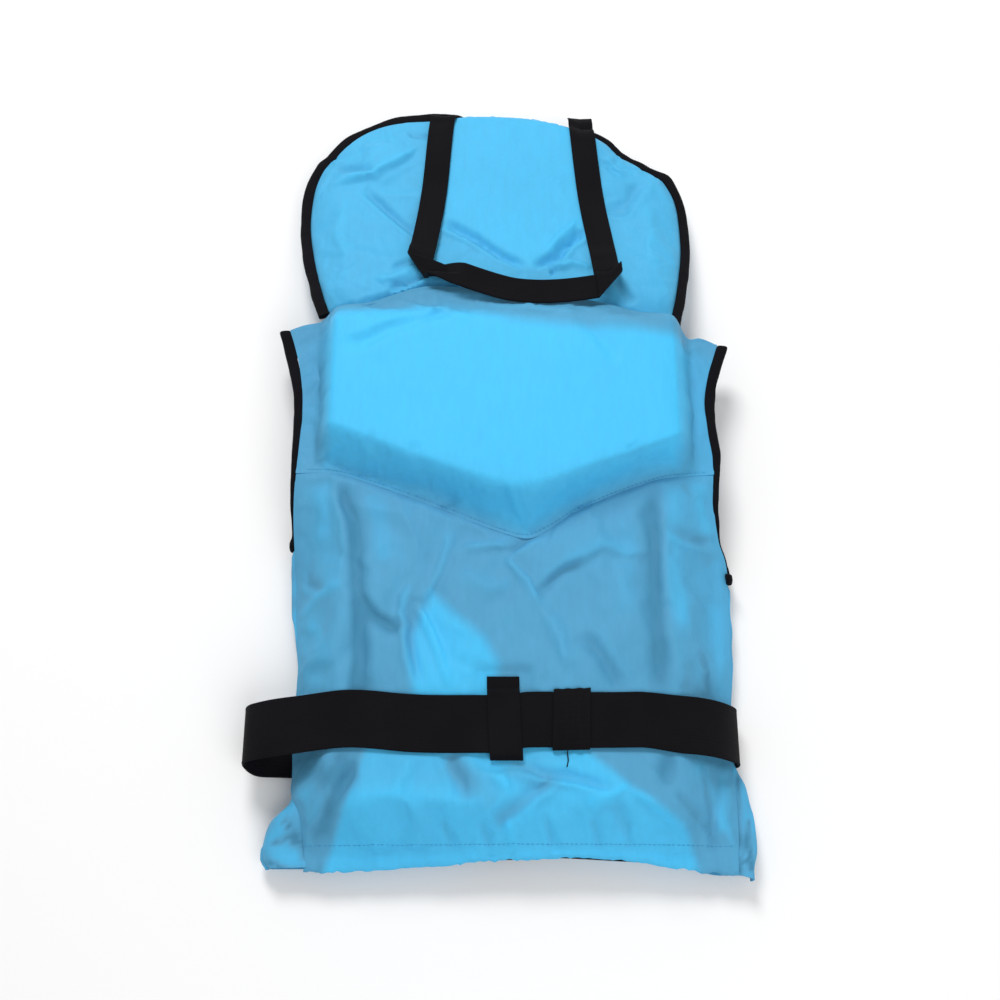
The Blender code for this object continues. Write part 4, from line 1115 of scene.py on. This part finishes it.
def collar():
    """The collar: a crowned foam pad between two layers of cloth."""
    cols = 150
    rows = 104
    u = np.linspace(0, 1, cols)[None, :]
    share = np.linspace(0, 1, rows)[:, None]
    y = COLLAR_LOW(u) + (COLLAR_TOP(u) - COLLAR_LOW(u)) * share
    x = COLLAR_LEFT(y) + (COLLAR_RIGHT(y) - COLLAR_LEFT(y)) * u
    rim = smooth(0, 9, x - COLLAR_LEFT(y)) * smooth(0, 9, COLLAR_RIGHT(y) - x)
    rim = rim * smooth(0, 5, COLLAR_TOP(u) - y)
    z = collar_over(x, y)
    wrinkles = 1.7 * folds(x, y, COLLAR_FOLDS) + crumple(x, y, 51, 0.45)
    z = z + wrinkles * rim
    centre = inside(x, y, COLLAR_PAD, 7.0)
    z = z + 1.6 * centre * rim
    tucked = smooth(12, 2, y - YOKE_TOP(x))
    z = z - 3.0 * tucked
    held = np.maximum(1 - smooth(0, 0.25, rim), 0.35 * centre)
    p = settle(np.stack([x, y, z], axis=-1), held, 10, 0.016, 0.0, 3.0)
    x, y, z = p[..., 0], p[..., 1], p[..., 2]
    loop_path = LOOP_LEFT + LOOP_FOOT + LOOP_RIGHT
    d, _, _ = nearest(x, y, loop_path)
    cover = 1 - smooth(13, 18, d)
    cap = collar_over(x, y) + 1.3
    z = np.where(cover > 0, z * (1 - cover) + np.minimum(z, cap) * cover, z)
    low = collar_under(x, y)
    low = low + np.maximum(-low, 0.8 * crumple(x, y, 57, 0.9) * rim)
    low = np.minimum(low, z - 2.4)
    # painted light on fold ridges and painted shade in fold valleys
    mask = 0.66 + 0.16 * centre - 0.12 * (1 - rim) + 0.10 * np.clip(wrinkles / 3.0, -1, 1)
    obj = slab("collar_cloth", YOKE_CLOTH, x, y, z, low, mask)
    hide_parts("collar_shell", "collar_lining", "collar_foam_inner", "collar_foam_outer")
    return obj


collar_piece = collar()
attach(collar_piece, "collar")


def collar_rim(step=2.0):
    """The line of the collar's binding, with the way out from the collar."""
    seam = [(COLLAR_LEFT(y), y) for y in np.linspace(113, 259, 60)]
    for t in np.linspace(0, 1, 150):
        y = COLLAR_TOP(t)
        seam.append((COLLAR_LEFT(y) + (COLLAR_RIGHT(y) - COLLAR_LEFT(y)) * t, y))
    seam += [(COLLAR_RIGHT(y), y) for y in np.linspace(246, 100, 56)]
    return resample([(float(a), float(b)) for a, b in seam], step)


# ---------------------------------------------------------------- bindings


def tape_profile(half_width, half_height, wave, lip=0.35):
    """A folded tape seen end on: flat faces, a round outer fold, open at the inner edge."""
    out = []
    for k in range(16):
        a = 2 * math.pi * k / 16
        c = math.cos(a)
        s = math.sin(a)
        w = math.copysign(abs(c) ** 0.72, c) * half_width
        h = math.copysign(abs(s) ** 0.62, s) * half_height
        if c < -0.2:
            h *= 1.0 + lip * (-c - 0.2) * 0.5
        out.append((w + wave[0], h * (1.0 + wave[1])))
    return out


def collar_binding():
    seam = collar_rim()
    tang = tangents(seam)
    out = np.column_stack([-tang[:, 1], tang[:, 0]])
    run = np.arange(len(seam)) * 2.0
    reach = 3.4 + 0.5 * noise(run, 0 * run, 17.0, 81)
    # a small notch in the upper right of the edge
    notch = np.exp(-((np.hypot(seam[:, 0] - 107, seam[:, 1] - 270) / 5.0) ** 2))
    # the pad rolls over the binding between the loop's two ends
    rolled = smooth(-36, -20, seam[:, 0]) * (1 - smooth(56, 72, seam[:, 0])) * (seam[:, 1] > 280)
    reach = reach - 1.6 * notch - 3.6 * rolled
    height = COLLAR_MIDDLE(seam[:, 1]) + 0.5 * noise(run, 0 * run, 23.0, 82) - 6.0 * rolled
    # it stands up on the pad where the loop's left end is sewn in
    stood = smooth(-104, -84, seam[:, 0]) * (1 - smooth(-44, -30, seam[:, 0])) * (seam[:, 1] > 280)
    reach = reach - 0.2 * stood
    height = height + 2.6 * stood
    line = np.column_stack([seam + out * reach[:, None], height])
    tang3 = tangents(line)
    across = np.column_stack([out, np.zeros(len(out))])
    up = unit(np.cross(tang3, across))
    up = np.where(up[:, 2:3] < 0, -up, up)
    width = 4.7 + 0.3 * noise(run, 0 * run, 12.0, 83) - 1.1 * notch - 0.7 * smooth(60, 100, seam[:, 0])

    def profile(i):
        ripple = 0.10 * noise(run[i], 0.0, 4.0, 84)
        return tape_profile(float(width[i]), 2.6, (0.0, float(ripple)))

    obj = sweep("collar_binding_tape", BINDING, line, across, up, profile)
    return keep(obj, "collar", "binding", "collar_binding")


collar_binding()


def arm_ring(back_edge, front_edge, sign, tip_y, pit_y):
    """The bound edge of an armhole: down the back, under the arm, and up the front."""
    ring = []
    for i in range(20):
        y = tip_y + (pit_y - tip_y) * i / 19
        x = float(back_edge(y)) + sign * (3.1 + 1.0 * float(smooth(6, 0, i)))
        z = float(back_under(x - sign * 4.2, y)) + 1.8 - 6.0 * float(smooth(14, 19, i))
        x -= sign * 2.2 * float(smooth(12, 19, i))
        ring.append((x, y, z))
    x = float(back_edge(pit_y)) + sign * 2.4
    ring.append((x, pit_y - 5.5, 19))
    ring.append((x, pit_y - 7.5, 14))
    for i in range(18):
        y = pit_y - 3 + (tip_y - 8 - pit_y) * i / 17
        far = float(front_edge(y)) + sign * 4.4
        x = float(back_edge(y)) + sign * 2.6
        x += (far - x) * float(smooth(0, 6, i))
        ring.append((x, y, 7.8 + 10.0 * float(smooth(30, 92, y))))
    ring.append((float(back_edge(tip_y)) + sign * 3.4, tip_y + 1.5, 26))
    return ring


def arm_binding(side, back_edge, front_edge, sign, tip_y, pit_y, seed):
    ring = arm_ring(back_edge, front_edge, sign, tip_y, pit_y)
    line = resample(ring + ring[:1], 2.0)[:-1]
    tang = tangents(line, closed=True)
    n = len(line)
    out = np.tile([float(sign), 0.0, 0.0], (n, 1))
    out = out - (out * tang).sum(axis=1)[:, None] * tang
    out = unit(out)
    up = unit(np.cross(tang, out))
    run = np.arange(n) * 2.0
    width = 3.9 - 1.6 * smooth(tip_y - 30, pit_y + 30, line[:, 1]) + 0.2 * noise(run, 0 * run, 11.0, seed)
    line = line + out * (0.5 * noise(run, 0 * run, 19.0, seed + 1))[:, None]
    line = line - out * (3.6 - width)[:, None]

    def profile(i):
        ripple = 0.10 * noise(run[i], 0.0, 4.0, seed + 2)
        return tape_profile(float(width[i]), 2.2, (0.0, float(ripple)))

    obj = sweep("armhole_tape_" + side, BINDING, line, out, up, profile, closed=True)
    return keep(obj, "jacket", "binding", "armhole_binding_" + side)


arm_binding("left", SIDE_LEFT, ARM_LEFT, -1, 97, -62, 101)
arm_binding("right", SIDE_RIGHT, ARM_RIGHT, 1, 84, -87, 111)

# ---------------------------------------------------------------- webbing


def webbing_profile(width, thick, columns=14, bead=0.16):
    """Webbing end on: flat, a little thicker at its woven edges, with rounded corners."""
    half = width / 2
    steps = np.array([0.0, 0.35, 1.1, 2.4])
    xs = np.concatenate([-half + steps, np.linspace(-half + 4, half - 4, columns), half - steps[::-1]])
    rise = [thick * 0.22, thick * 0.46, thick * 0.5 + bead, thick * 0.5]
    lift = np.array(rise + [thick * 0.5] * columns + rise[::-1])
    return np.vstack([np.column_stack([xs, lift]), np.column_stack([xs[::-1], -lift[::-1]])])


def band(name, material, line, across, width, thick, seed, wave=0.25, scale=None):
    """Webbing along a line, with small waves in its edges."""
    if scale is None:
        scale = np.ones(len(line))
    tang = tangents(line)
    across = unit(across)
    up = unit(np.cross(across, tang))
    run = np.concatenate([[0], np.cumsum(np.sqrt((np.diff(line, axis=0) ** 2).sum(axis=1)))])
    edge_wave = wave * noise(run, 0 * run, 22.0, seed)
    face_wave = 0.5 * wave * noise(run, 0 * run, 14.0, seed + 1)

    def profile(i):
        shape = webbing_profile(width, thick)
        shape[:, 0] = shape[:, 0] * scale[i] + edge_wave[i]
        shape[:, 1] += face_wave[i] * (shape[:, 0] / (width / 2)) * 0.6
        return shape

    return sweep(name, material, line, across, up, profile)


def belt():
    path = [(-36.6, 5.6), (-52, BELT_FRONT_Z), (-85, BELT_FRONT_Z), (-122, BELT_FRONT_Z)]
    path += [(-145, 4.8), (-162, 9.5), (-170.5, 20), (-167, 31), (-154, 39), (-134, 43.4)]
    path += [(-108, BELT_BACK_Z), (-60, BELT_BACK_Z), (0, BELT_BACK_Z), (60, BELT_BACK_Z)]
    path += [(112, BELT_BACK_Z), (131, 43.0), (148, 34), (158.5, 21), (158.8, 11), (151, 4.9)]
    path += [(133, BELT_FRONT_Z), (110, BELT_FRONT_Z), (84, BELT_FRONT_Z)]
    flat = resample(path, 2.2)
    x = flat[:, 0]
    behind = smooth(8, 24, flat[:, 1])
    lean = -2.2 * smooth(-120, -170, x) * behind - 1.6 * smooth(110, 158, x)
    lean = lean - 7.0 * smooth(-108, -140, x) * (1 - behind)
    along_sleeve = smooth(4, 18, x) * (1 - smooth(90, 122, x))
    lean = lean + behind * (3.6 * np.exp(-(((x + 96) / 30) ** 2)) + 2.8 * along_sleeve)
    line = np.column_stack([x, BELT_Y + lean, flat[:, 1]])
    narrow = 0.965 - 0.035 * behind * along_sleeve
    across = np.tile([0.0, 1.0, 0.0], (len(line), 1))
    obj = band("belt_webbing", WEBBING, line, across, 40.0, 1.5, 121, 0.3, narrow)
    return keep(obj, "jacket", "webbing", "belt_strap")


belt()
hem_elastic()


def over_belt(rest, peak, flat, reach):
    return lambda y: rest + (peak - rest) * (1 - smooth(flat, reach, np.abs(y - BELT_Y)))


def crossing(name, centre_x, width, half_length, height, thick, replaced, seed, shift=0.0, slant=0.0):
    y = np.arange(BELT_Y + shift - half_length, BELT_Y + shift + half_length + 0.01, 1.0)
    x = centre_x + slant * (y - BELT_Y - shift)
    line = np.column_stack([x, y, height(y) + thick / 2])
    across = np.tile([1.0, 0.0, 0.0], (len(line), 1))
    obj = band(name, WEBBING, line, across, width, thick, seed, 0.2)
    return keep(obj, "jacket", "webbing", replaced)


keeper_height = over_belt(BACK_Z + 4.0, BELT_BACK_Z + 1.15, 20.6, 24.5)
crossing("belt_keeper_band", 3.0, 21.6, 28.0, keeper_height, 1.2, "belt_keeper", 131, 4.4, -0.04)
front_height = over_belt(4.1, 0.3, 23, 29)
crossing("front_loop_band_left", -96, 12, 31, front_height, 0.9, "front_belt_loop_left", 133)
crossing("front_loop_band_right", 118, 12, 31, front_height, 0.9, "front_belt_loop_right", 135)


SLEEVE_Y = BELT_Y + 2.8


def sleeve():
    """The elastic sleeve on the belt, wrinkled across its width."""
    half = 19.9
    outer, inner = [], []
    count = 64
    for k in range(count):
        a = 2 * math.pi * k / count
        c = math.cos(a)
        s = math.sin(a)
        outer.append((math.copysign(abs(c) ** 0.3, c) * (half + 0.5), math.copysign(abs(s) ** 0.45, s) * 2.3))
        inner.append((math.copysign(abs(c) ** 0.3, c) * (half - 0.2), math.copysign(abs(s) ** 0.45, s) * 1.5))
    outer = np.array(outer)
    inner = np.array(inner)
    cols = 40
    verts, lay = [], []
    for part, ring in (("out", outer), ("in", inner)):
        for i in range(cols + 1):
            t = i / cols
            x = SLEEVE_START + SLEEVE_LONG * t
            for k, (yy, zz) in enumerate(ring):
                ridge = 0.0
                if part == "out":
                    ridge = 0.55 * math.sin(t * 2 * math.pi * 3.3 + 0.9 * float(noise(yy, 0.0, 9.0, 141)))
                    ridge += 0.35 * float(noise(x, yy * 0.25, 2.6, 142))
                    ridge *= float(smooth(0, 0.06, t) * smooth(0, 0.06, 1 - t))
                skew = 0.9 * (yy / half) + 0.5 * float(noise(yy, 3.0, 14.0, 143)) * (1 if t > 0.5 else -1)
                across_y = SLEEVE_Y + yy * (1 + 0.010 * t) + 0.8 * t
                height = BELT_BACK_Z + zz + ridge * (1 if zz > 0 else -0.2)
                verts.append((x + skew * 0.8, across_y, height))
                lay.append((yy, x, 0.0))
    verts = np.array(verts)
    faces = []
    size = count
    shift = (cols + 1) * size
    for i in range(cols):
        for k in range(size):
            n = (k + 1) % size
            faces.append((i * size + k, i * size + n, (i + 1) * size + n, (i + 1) * size + k))
            a, b = shift + i * size, shift + (i + 1) * size
            faces.append((a + k, b + k, b + n, a + n))
    for i in (0, cols):
        for k in range(size):
            n = (k + 1) % size
            a, b = i * size + k, i * size + n
            quad = (a, b, shift + b, shift + a)
            faces.append(quad if i else quad[::-1])
    obj = make("belt_sleeve_elastic", verts, faces, ELASTIC, np.array(lay))
    outward(obj)
    return keep(obj, "sleeve", "elastic", "belt_sleeve")


sleeve()


def thread_tail():
    """The loose end of the sleeve's sewing thread."""
    path = [(44.0, -222.3, 47.4), (43.6, -225.5, 47.4), (44.1, -229.0, 47.0), (43.2, -233.5, 46.6)]
    line = resample(path, 0.6)
    tang = tangents(line)
    across = np.tile([1.0, 0.0, 0.0], (len(line), 1))
    up = unit(np.cross(across, tang))
    ring = [(0.42 * math.cos(2 * math.pi * k / 7), 0.42 * math.sin(2 * math.pi * k / 7)) for k in range(7)]
    obj = sweep("sleeve_thread_tail", THREAD_BLACK, line, across, up, lambda i: ring)
    return keep(obj, "sleeve", "elastic")


thread_tail()


def loop_z(x, y):
    inner_y = np.clip(y, 142.0, 293.0)
    on_pad = np.maximum(collar_over(x, inner_y) + 3.0 + 1.4 * smooth(172, 158, y), 61.6 * smooth(150, 132, y))
    return on_pad + (21.0 - on_pad) * smooth(299, 311, y)


def folded_band(name, material, corners, width, thick, surface, body, slot, replaced):
    """Webbing that turns by flat folds, each run lying on the one before."""
    runs = [np.array(c, float) for c in corners]
    verts, lay = [], []
    shape0 = webbing_profile(width, thick)
    travelled = 0.0
    rows = []
    for index, pts in enumerate(runs):
        line = resample([tuple(p) for p in pts], 2.0)
        tang = tangents(line)
        steps = np.concatenate([[0], np.cumsum(np.sqrt((np.diff(line, axis=0) ** 2).sum(axis=1)))])
        total = steps[-1]
        side = np.column_stack([tang[:, 1], -tang[:, 0]])
        start_skew = end_skew = 0.0
        if index > 0:
            before = tangents(resample([tuple(p) for p in runs[index - 1]], 2.0))[-1]
            b = unit(before + tang[0])
            start_skew = float(b @ tang[0]) / float(b @ side[0])
        if index < len(runs) - 1:
            after = tangents(resample([tuple(p) for p in runs[index + 1]], 2.0))[0]
            b = unit(after + tang[-1])
            end_skew = float(b @ tang[-1]) / float(b @ side[-1])
        turned = index % 2
        for i, p in enumerate(line):
            s = steps[i]
            k = 0.0
            if index > 0:
                k += start_skew * float(1 - smooth(0, CORNER_REACH, s))
            if index < len(runs) - 1:
                k += end_skew * float(1 - smooth(0, CORNER_REACH, total - s))
            stack = 0.0
            if index > 0:
                stack += CORNER_LAP * float(1 - smooth(16, CORNER_REACH, s))
            rows.append((p, tang[i], side[i], k, stack, turned, travelled + s))
        travelled += total
    size = len(shape0)
    for p, t, side, k, stack, turned, run in rows:
        flip = -1.0 if turned else 1.0
        for a, h in shape0:
            w = a * flip
            at = p + side * w + t * w * k
            z = max(float(surface(p[0], p[1])), float(surface(at[0], at[1]))) + stack + h * flip
            verts.append((at[0], at[1], z))
            lay.append((a + width / 2, run, 0.0))
    faces = []
    for i in range(len(rows) - 1):
        for k in range(size):
            n = (k + 1) % size
            faces.append((i * size + k, i * size + n, (i + 1) * size + n, (i + 1) * size + k))
    faces.append(tuple(range(size - 1, -1, -1)))
    faces.append(tuple((len(rows) - 1) * size + k for k in range(size)))
    obj = make(name, np.array(verts), faces, material, np.array(lay))
    outward(obj)
    return keep(obj, body, slot, replaced)


folded_band(
    "lifting_loop_webbing", WEBBING, [LOOP_LEFT, LOOP_FOOT, LOOP_RIGHT], 20.0, 1.6, loop_z,
    "loop", "webbing", "lifting_loop",
)

# ---------------------------------------------------------------- the fronts


# creases where the hem's elastic gathers the fronts' lower corners, pressed into the cloth and darkened with
# painted shade
CREASES = {
    "left": [
        [(-148, -277), (-141, -274.5), (-134, -272.4), (-128.5, -277), (-127.5, -286)],
        [(-150, -288), (-144, -291), (-140, -294)],
        [(-141, -262), (-136, -270), (-133, -277)],
    ],
    "right": [
        [(158.5, -232), (158, -252), (157, -272), (156, -296)],
        [(164, -262), (162, -276), (163, -292)],
        [(150, -290), (156, -286), (161, -290)],
    ],
}


def front_top(sign):
    """The shoulder end of a front, from its outer corner to the neck."""
    return edge([(0, 86), (1, 97)]) if sign < 0 else edge([(0, 74), (1, 92)])


def front_cover(side, sign, arm_edge, pit_y, flare, seed):
    """The front's outer cloth, which turns up around the side to the back's edge."""
    cols = 84
    curl_cols = 16
    rows = 120
    zip_side = front_zip_edge(sign, 5.5)
    shoulder_edge = front_top(sign)
    w = np.linspace(0, 1, cols)[None, :]
    share = np.linspace(0, 1, rows)[:, None]
    top_y = shoulder_edge(1 - w)
    drop = -1.0 + (9.0 if sign < 0 else 13.0) * smooth(0.62, 0.9, w)
    y = HEM_Y - drop + (top_y - HEM_Y + drop) * share
    x = zip_side(y) + (arm_edge(y) - zip_side(y)) * w
    under = front_under(x, y)
    calm = smooth(0, 6, from_zip(x) - 5.5) * smooth(0, 5, np.abs(arm_edge(y) - x))
    off_belt = 1 - belt_band(y, 36, 6)
    rise = np.abs(layered(x, y, 34.0, seed, 3)) * 1.1 * calm * off_belt
    floor_z = under + np.minimum(rise, 1.3)
    # the turn-up under the arm, which ends at the back's side edge
    back_edge = SIDE_LEFT if sign < 0 else SIDE_RIGHT
    extra_x, extra_y, extra_z = [], [], []
    yy = y[:, -1]
    x0 = arm_edge(yy)
    z0 = floor_z[:, -1]
    below = 1 - smooth(pit_y - 16, pit_y + 2, yy)
    target_x = back_edge(yy) - sign * 0.4
    target_z = back_over(back_edge(yy), yy) - 0.6
    bulge = flare(yy)
    gather = 1 - smooth(-292, -252, yy)
    for k in range(1, curl_cols + 1):
        t = k / curl_cols
        a = t * math.pi
        uneven = 1.5 * math.sin(3.3 * a + 0.5) + 1.0 * noise(yy, 0 * yy + 9 * t, 9.0, seed + 7)
        pleat = gather * math.sin(a) * uneven
        reach_x = x0 + (target_x - x0) * t + sign * bulge * math.sin(a) ** 0.8
        reach_z = z0 + (target_z - z0) * (0.5 - 0.5 * math.cos(a * 0.98))
        wave = 0.9 * noise(yy, 0 * yy + 6 * t, 13.0, seed + 5) * math.sin(a)
        flat_x = x0 + sign * 0.5 * t
        flat_z = z0 + 0.25 * t
        extra_x.append(flat_x * (1 - below) + (reach_x + sign * (wave + pleat)) * below)
        extra_y.append(yy - (4.0 if sign > 0 else 0.5) * gather * math.sin(a))
        extra_z.append(np.maximum(flat_z * (1 - below) + (reach_z + 1.6 * pleat) * below, floor_z[:, -1]))
    flat_part = 0 * x
    x = np.hstack([x, np.array(extra_x).T])
    y = np.hstack([y, np.array(extra_y).T])
    z = np.hstack([floor_z, np.array(extra_z).T])
    climb = smooth(0.1, 0.5, np.arange(1, curl_cols + 1) / curl_cols)
    turned = np.hstack([flat_part, np.tile(climb, (len(yy), 1))])
    turned = turned * (1 - smooth(pit_y - 30, pit_y - 10, y))
    creased = 0 * turned
    for line in CREASES[side]:
        d, _, _ = nearest(x, y, line)
        creased = np.maximum(creased, turned * np.exp(-((d / 1.8) ** 2)))
    z = z - 1.2 * creased
    if sign < 0:
        x, y, z = x[:, ::-1], y[:, ::-1], z[:, ::-1]
        turned, creased = turned[:, ::-1], creased[:, ::-1]
    p = np.stack([x, y, z], axis=-1)
    near_x, far_x = ZIP_X + sign * 40, ZIP_X + sign * 98
    foam_front = [(near_x, -248), (far_x, -248), (far_x, 36), (near_x, 36)]
    patchy = 0.06 + 0.30 * noise(x, y, 11.0, seed + 8)
    # painted shade in the creases
    mask = PLAIN + 0.10 + 0.42 * inside(x, y, foam_front, 10.0) + turned * patchy - 0.55 * creased
    obj = shell("front_cover_cloth_" + side, YOKE_CLOTH, p + normals(p) * FABRIC, p, x, y, mask)
    return keep(obj, "jacket", "bright_nylon", "front_cover_" + side)


# how far each front bulges past the side of the back
FLARE_LEFT = edge(
    [(-292, 15), (-286, 19), (-275, 17.5), (-262, 12.5), (-256, 7), (-249, 1.8), (-235, 0.8), (-165, 0.8),
     (-150, 2), (-124, 4.5), (-82, 6), (-66, 5)]
)
FLARE_RIGHT = edge(
    [(-298, 9), (-275, 12.5), (-250, 12), (-238, 10.5), (-228, 6.5), (-212, 3.5), (-185, 4.5), (-150, 6),
     (-110, 5.5), (-90, 5.5), (-80, 4)]
)
cover_left = front_cover("left", -1, ARM_LEFT, -60, FLARE_LEFT, 201)
cover_right = front_cover("right", 1, ARM_RIGHT, -84, FLARE_RIGHT, 211)


def front_pad(side, sign, arm_edge, seed):
    """The front's foam in its lining: a closed, crowned cushion."""
    cols = 84
    rows = 120
    zip_side = front_zip_edge(sign, 9.5)
    shoulder_edge = front_top(sign)
    w = np.linspace(0, 1, cols)[None, :]
    share = np.linspace(0, 1, rows)[:, None]
    top_y = shoulder_edge(1 - w)
    y = HEM_Y + 0.5 + (top_y - HEM_Y - 1.0) * share
    x = zip_side(y) + (arm_edge(y) - sign * 1.0 - zip_side(y)) * w
    top = front_over(x, y)
    d = from_zip(x)
    near_edge = smooth(0, 7, np.abs(x - zip_side(y))) * smooth(0, 7, np.abs(arm_edge(y) - x))
    near_edge = near_edge * smooth(0, 6, y - HEM_Y) * smooth(0, 5, top_y - y)
    top = top - np.abs(layered(x, y, 26.0, seed, 3)) * 1.0 * near_edge
    low_pad = front_under(x, y) + FABRIC + 1.7
    open_zip = smooth(13, 20, d)
    beside_zip = low_pad * open_zip + (front_over(x, y) - 0.8) * (1 - open_zip)
    low = np.where(top - 0.8 > low_pad, beside_zip, top - 0.8)
    low = np.minimum(low, top - 0.8)
    x, y, top, low = (grid[:, ::sign] for grid in (x, y, top, low))
    obj = slab("front_pad_" + side, LINING_CLOTH, x, y, top, low, 0.5 + 0 * x)
    outward(obj)
    foams = ["front_foam_%s_%s" % (side, layer) for layer in ("inner", "outer")]
    return keep(obj, "jacket", "lining_nylon", "front_lining_" + side, *foams)


front_pad("left", -1, ARM_LEFT, 221)
front_pad("right", 1, ARM_RIGHT, 231)

# ---------------------------------------------------------------- shoulders


def shoulder(side, low_x, high_x, under_y, seed):
    """The roll of cloth from the yoke over the shoulder to the front."""
    cols = 34
    rows = 40
    u = np.linspace(0, 1, cols)[None, :]
    w = np.linspace(0, 1, rows)[:, None]
    x = low_x + (high_x - low_x) * u + 0 * w
    start = YOKE_TOP(x) - 3.0
    finish = under_y(x) + 1.5
    top = np.minimum.reduce([back_over(x + step, start) for step in (-6, 0, 6)]) - 3.4
    low = front_over(x, finish) + 1.4
    a = math.pi * w
    pleat = 0.5 * np.sin(a) * layered(x, 8 * w + 0 * x, 8.0, seed, 2)
    y = start + (finish - start) * w + (2.5 + pleat) * np.sin(a)
    z = (top + low) / 2 + (top - low) / 2 * np.cos(a)
    p = np.stack([x, y, z], axis=-1)
    plain = np.full(x.shape, PLAIN)
    obj = shell("shoulder_cloth_" + side, YOKE_CLOTH, p, p - normals(p) * FABRIC, x, w * 40 + 0 * x, plain)
    outward(obj)
    return keep(obj, "jacket", "bright_nylon", "shoulder_" + side)


shoulder("left", -146, -92, lambda x: 86 + 11 * (x + 152) / 79, 241)
shoulder("right", 96, 150, lambda x: 92 - 18 * (x - 79) / 79, 251)

# ---------------------------------------------------------------- sewing


def sewn(name, material, body, slot, piece, lines, from_below=False, **sizes):
    """Stitches laid on a piece."""
    laid = [laid_on(piece, line, from_below) for line in lines]
    laid = [line for line in laid if len(line) > 3]
    obj = stitches(name, material, laid, facing_up=not from_below, **sizes)
    return keep(obj, body, slot)


def line_of(function, low, high, count=70):
    return [(x, float(function(x))) for x in np.linspace(low, high, count)]


sewn(
    "yoke_seam_thread", THREAD_BLUE, "jacket", "bright_nylon", yoke_piece,
    [line_of(lambda x: seam_line(x) + 1.4, -137, 145, 150)], pitch=3.2, length=2.2, width=0.45, lift=0.1,
)
sewn(
    "hem_thread", THREAD_BLUE, "jacket", "thin_nylon", lower,
    [line_of(lambda x: HEM_Y + 5.0, -126, 150, 150)], pitch=3.2, length=2.3, width=0.45, lift=0.05,
)

# ---------------------------------------------------------------- hardware that stays as CAD

for node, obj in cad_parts.items():
    if obj.hide_render:
        continue
    finish = PLASTIC
    if node.startswith("reflective"):
        finish = REFLECTIVE
    elif node.startswith("zip_tape"):
        finish = TAPE
    elif node == "belt_tail":
        finish = WEBBING
    elif node == "hem_elastic":
        finish = ELASTIC
    for slot in obj.material_slots:
        slot.material = finish

# ---------------------------------------------------------------- stage, light and camera


def stage_floor():
    mesh = bpy.data.meshes.new("floor")
    corners = [(a * FLOOR_HALF, b * FLOOR_HALF, FLOOR_Z) for a, b in ((-1, -1), (1, -1), (1, 1), (-1, 1))]
    mesh.from_pydata(corners, [], [(0, 1, 2, 3)])
    made, tree, shader = nodes_of("floor_white")
    fine = object_noise(tree, 3.0, 2.0, 0.5)
    paper = mix_colour(tree, fine, (0.955, 0.955, 0.955), (0.965, 0.965, 0.965))
    tree.links.new(paper, shader.inputs["Base Color"])
    shader.inputs["Roughness"].default_value = 0.8
    shader.inputs["Specular IOR Level"].default_value = 0.1
    mesh.materials.append(made)
    floor = bpy.data.objects.new("floor", mesh)
    bpy.context.scene.collection.objects.link(floor)


stage_floor()


def area_light(name, place, target, size, power, colour=(1.0, 1.0, 1.0)):
    data = bpy.data.lights.new(name, "AREA")
    data.shape = "DISK"
    data.size = size
    data.energy = power
    data.color = colour
    obj = bpy.data.objects.new(name, data)
    obj.location = place
    obj.rotation_euler = (Vector(target) - Vector(place)).to_track_quat("-Z", "Y").to_euler()
    bpy.context.scene.collection.objects.link(obj)


area_light("key", (-0.35, 1.2, 1.5), (0, 0, 0), 0.8, 22.0)
area_light("fill", (0.65, -1.4, 1.4), (0, 0, 0), 1.6, 15.0)

world = bpy.data.worlds.new("studio")
world.use_nodes = True
world.node_tree.nodes["Background"].inputs[0].default_value = (1.0, 1.0, 1.0, 1.0)
world.node_tree.nodes["Background"].inputs[1].default_value = 0.46
bpy.context.scene.world = world
bpy.context.scene.view_settings.view_transform = "Standard"

camera_data = bpy.data.cameras.new("camera")
camera_data.lens = 50.0
camera_data.sensor_width = 36.0
camera = bpy.data.objects.new("camera", camera_data)
TARGET = Vector((0.00222, -0.04538, 0.04))
ELEVATION = math.radians(66.0)
camera.location = TARGET + CAMERA_FAR * Vector((0.0, -math.cos(ELEVATION), math.sin(ELEVATION)))
camera.rotation_euler = (TARGET - camera.location).to_track_quat("-Z", "Y").to_euler()
bpy.context.scene.collection.objects.link(camera)
bpy.context.scene.camera = camera
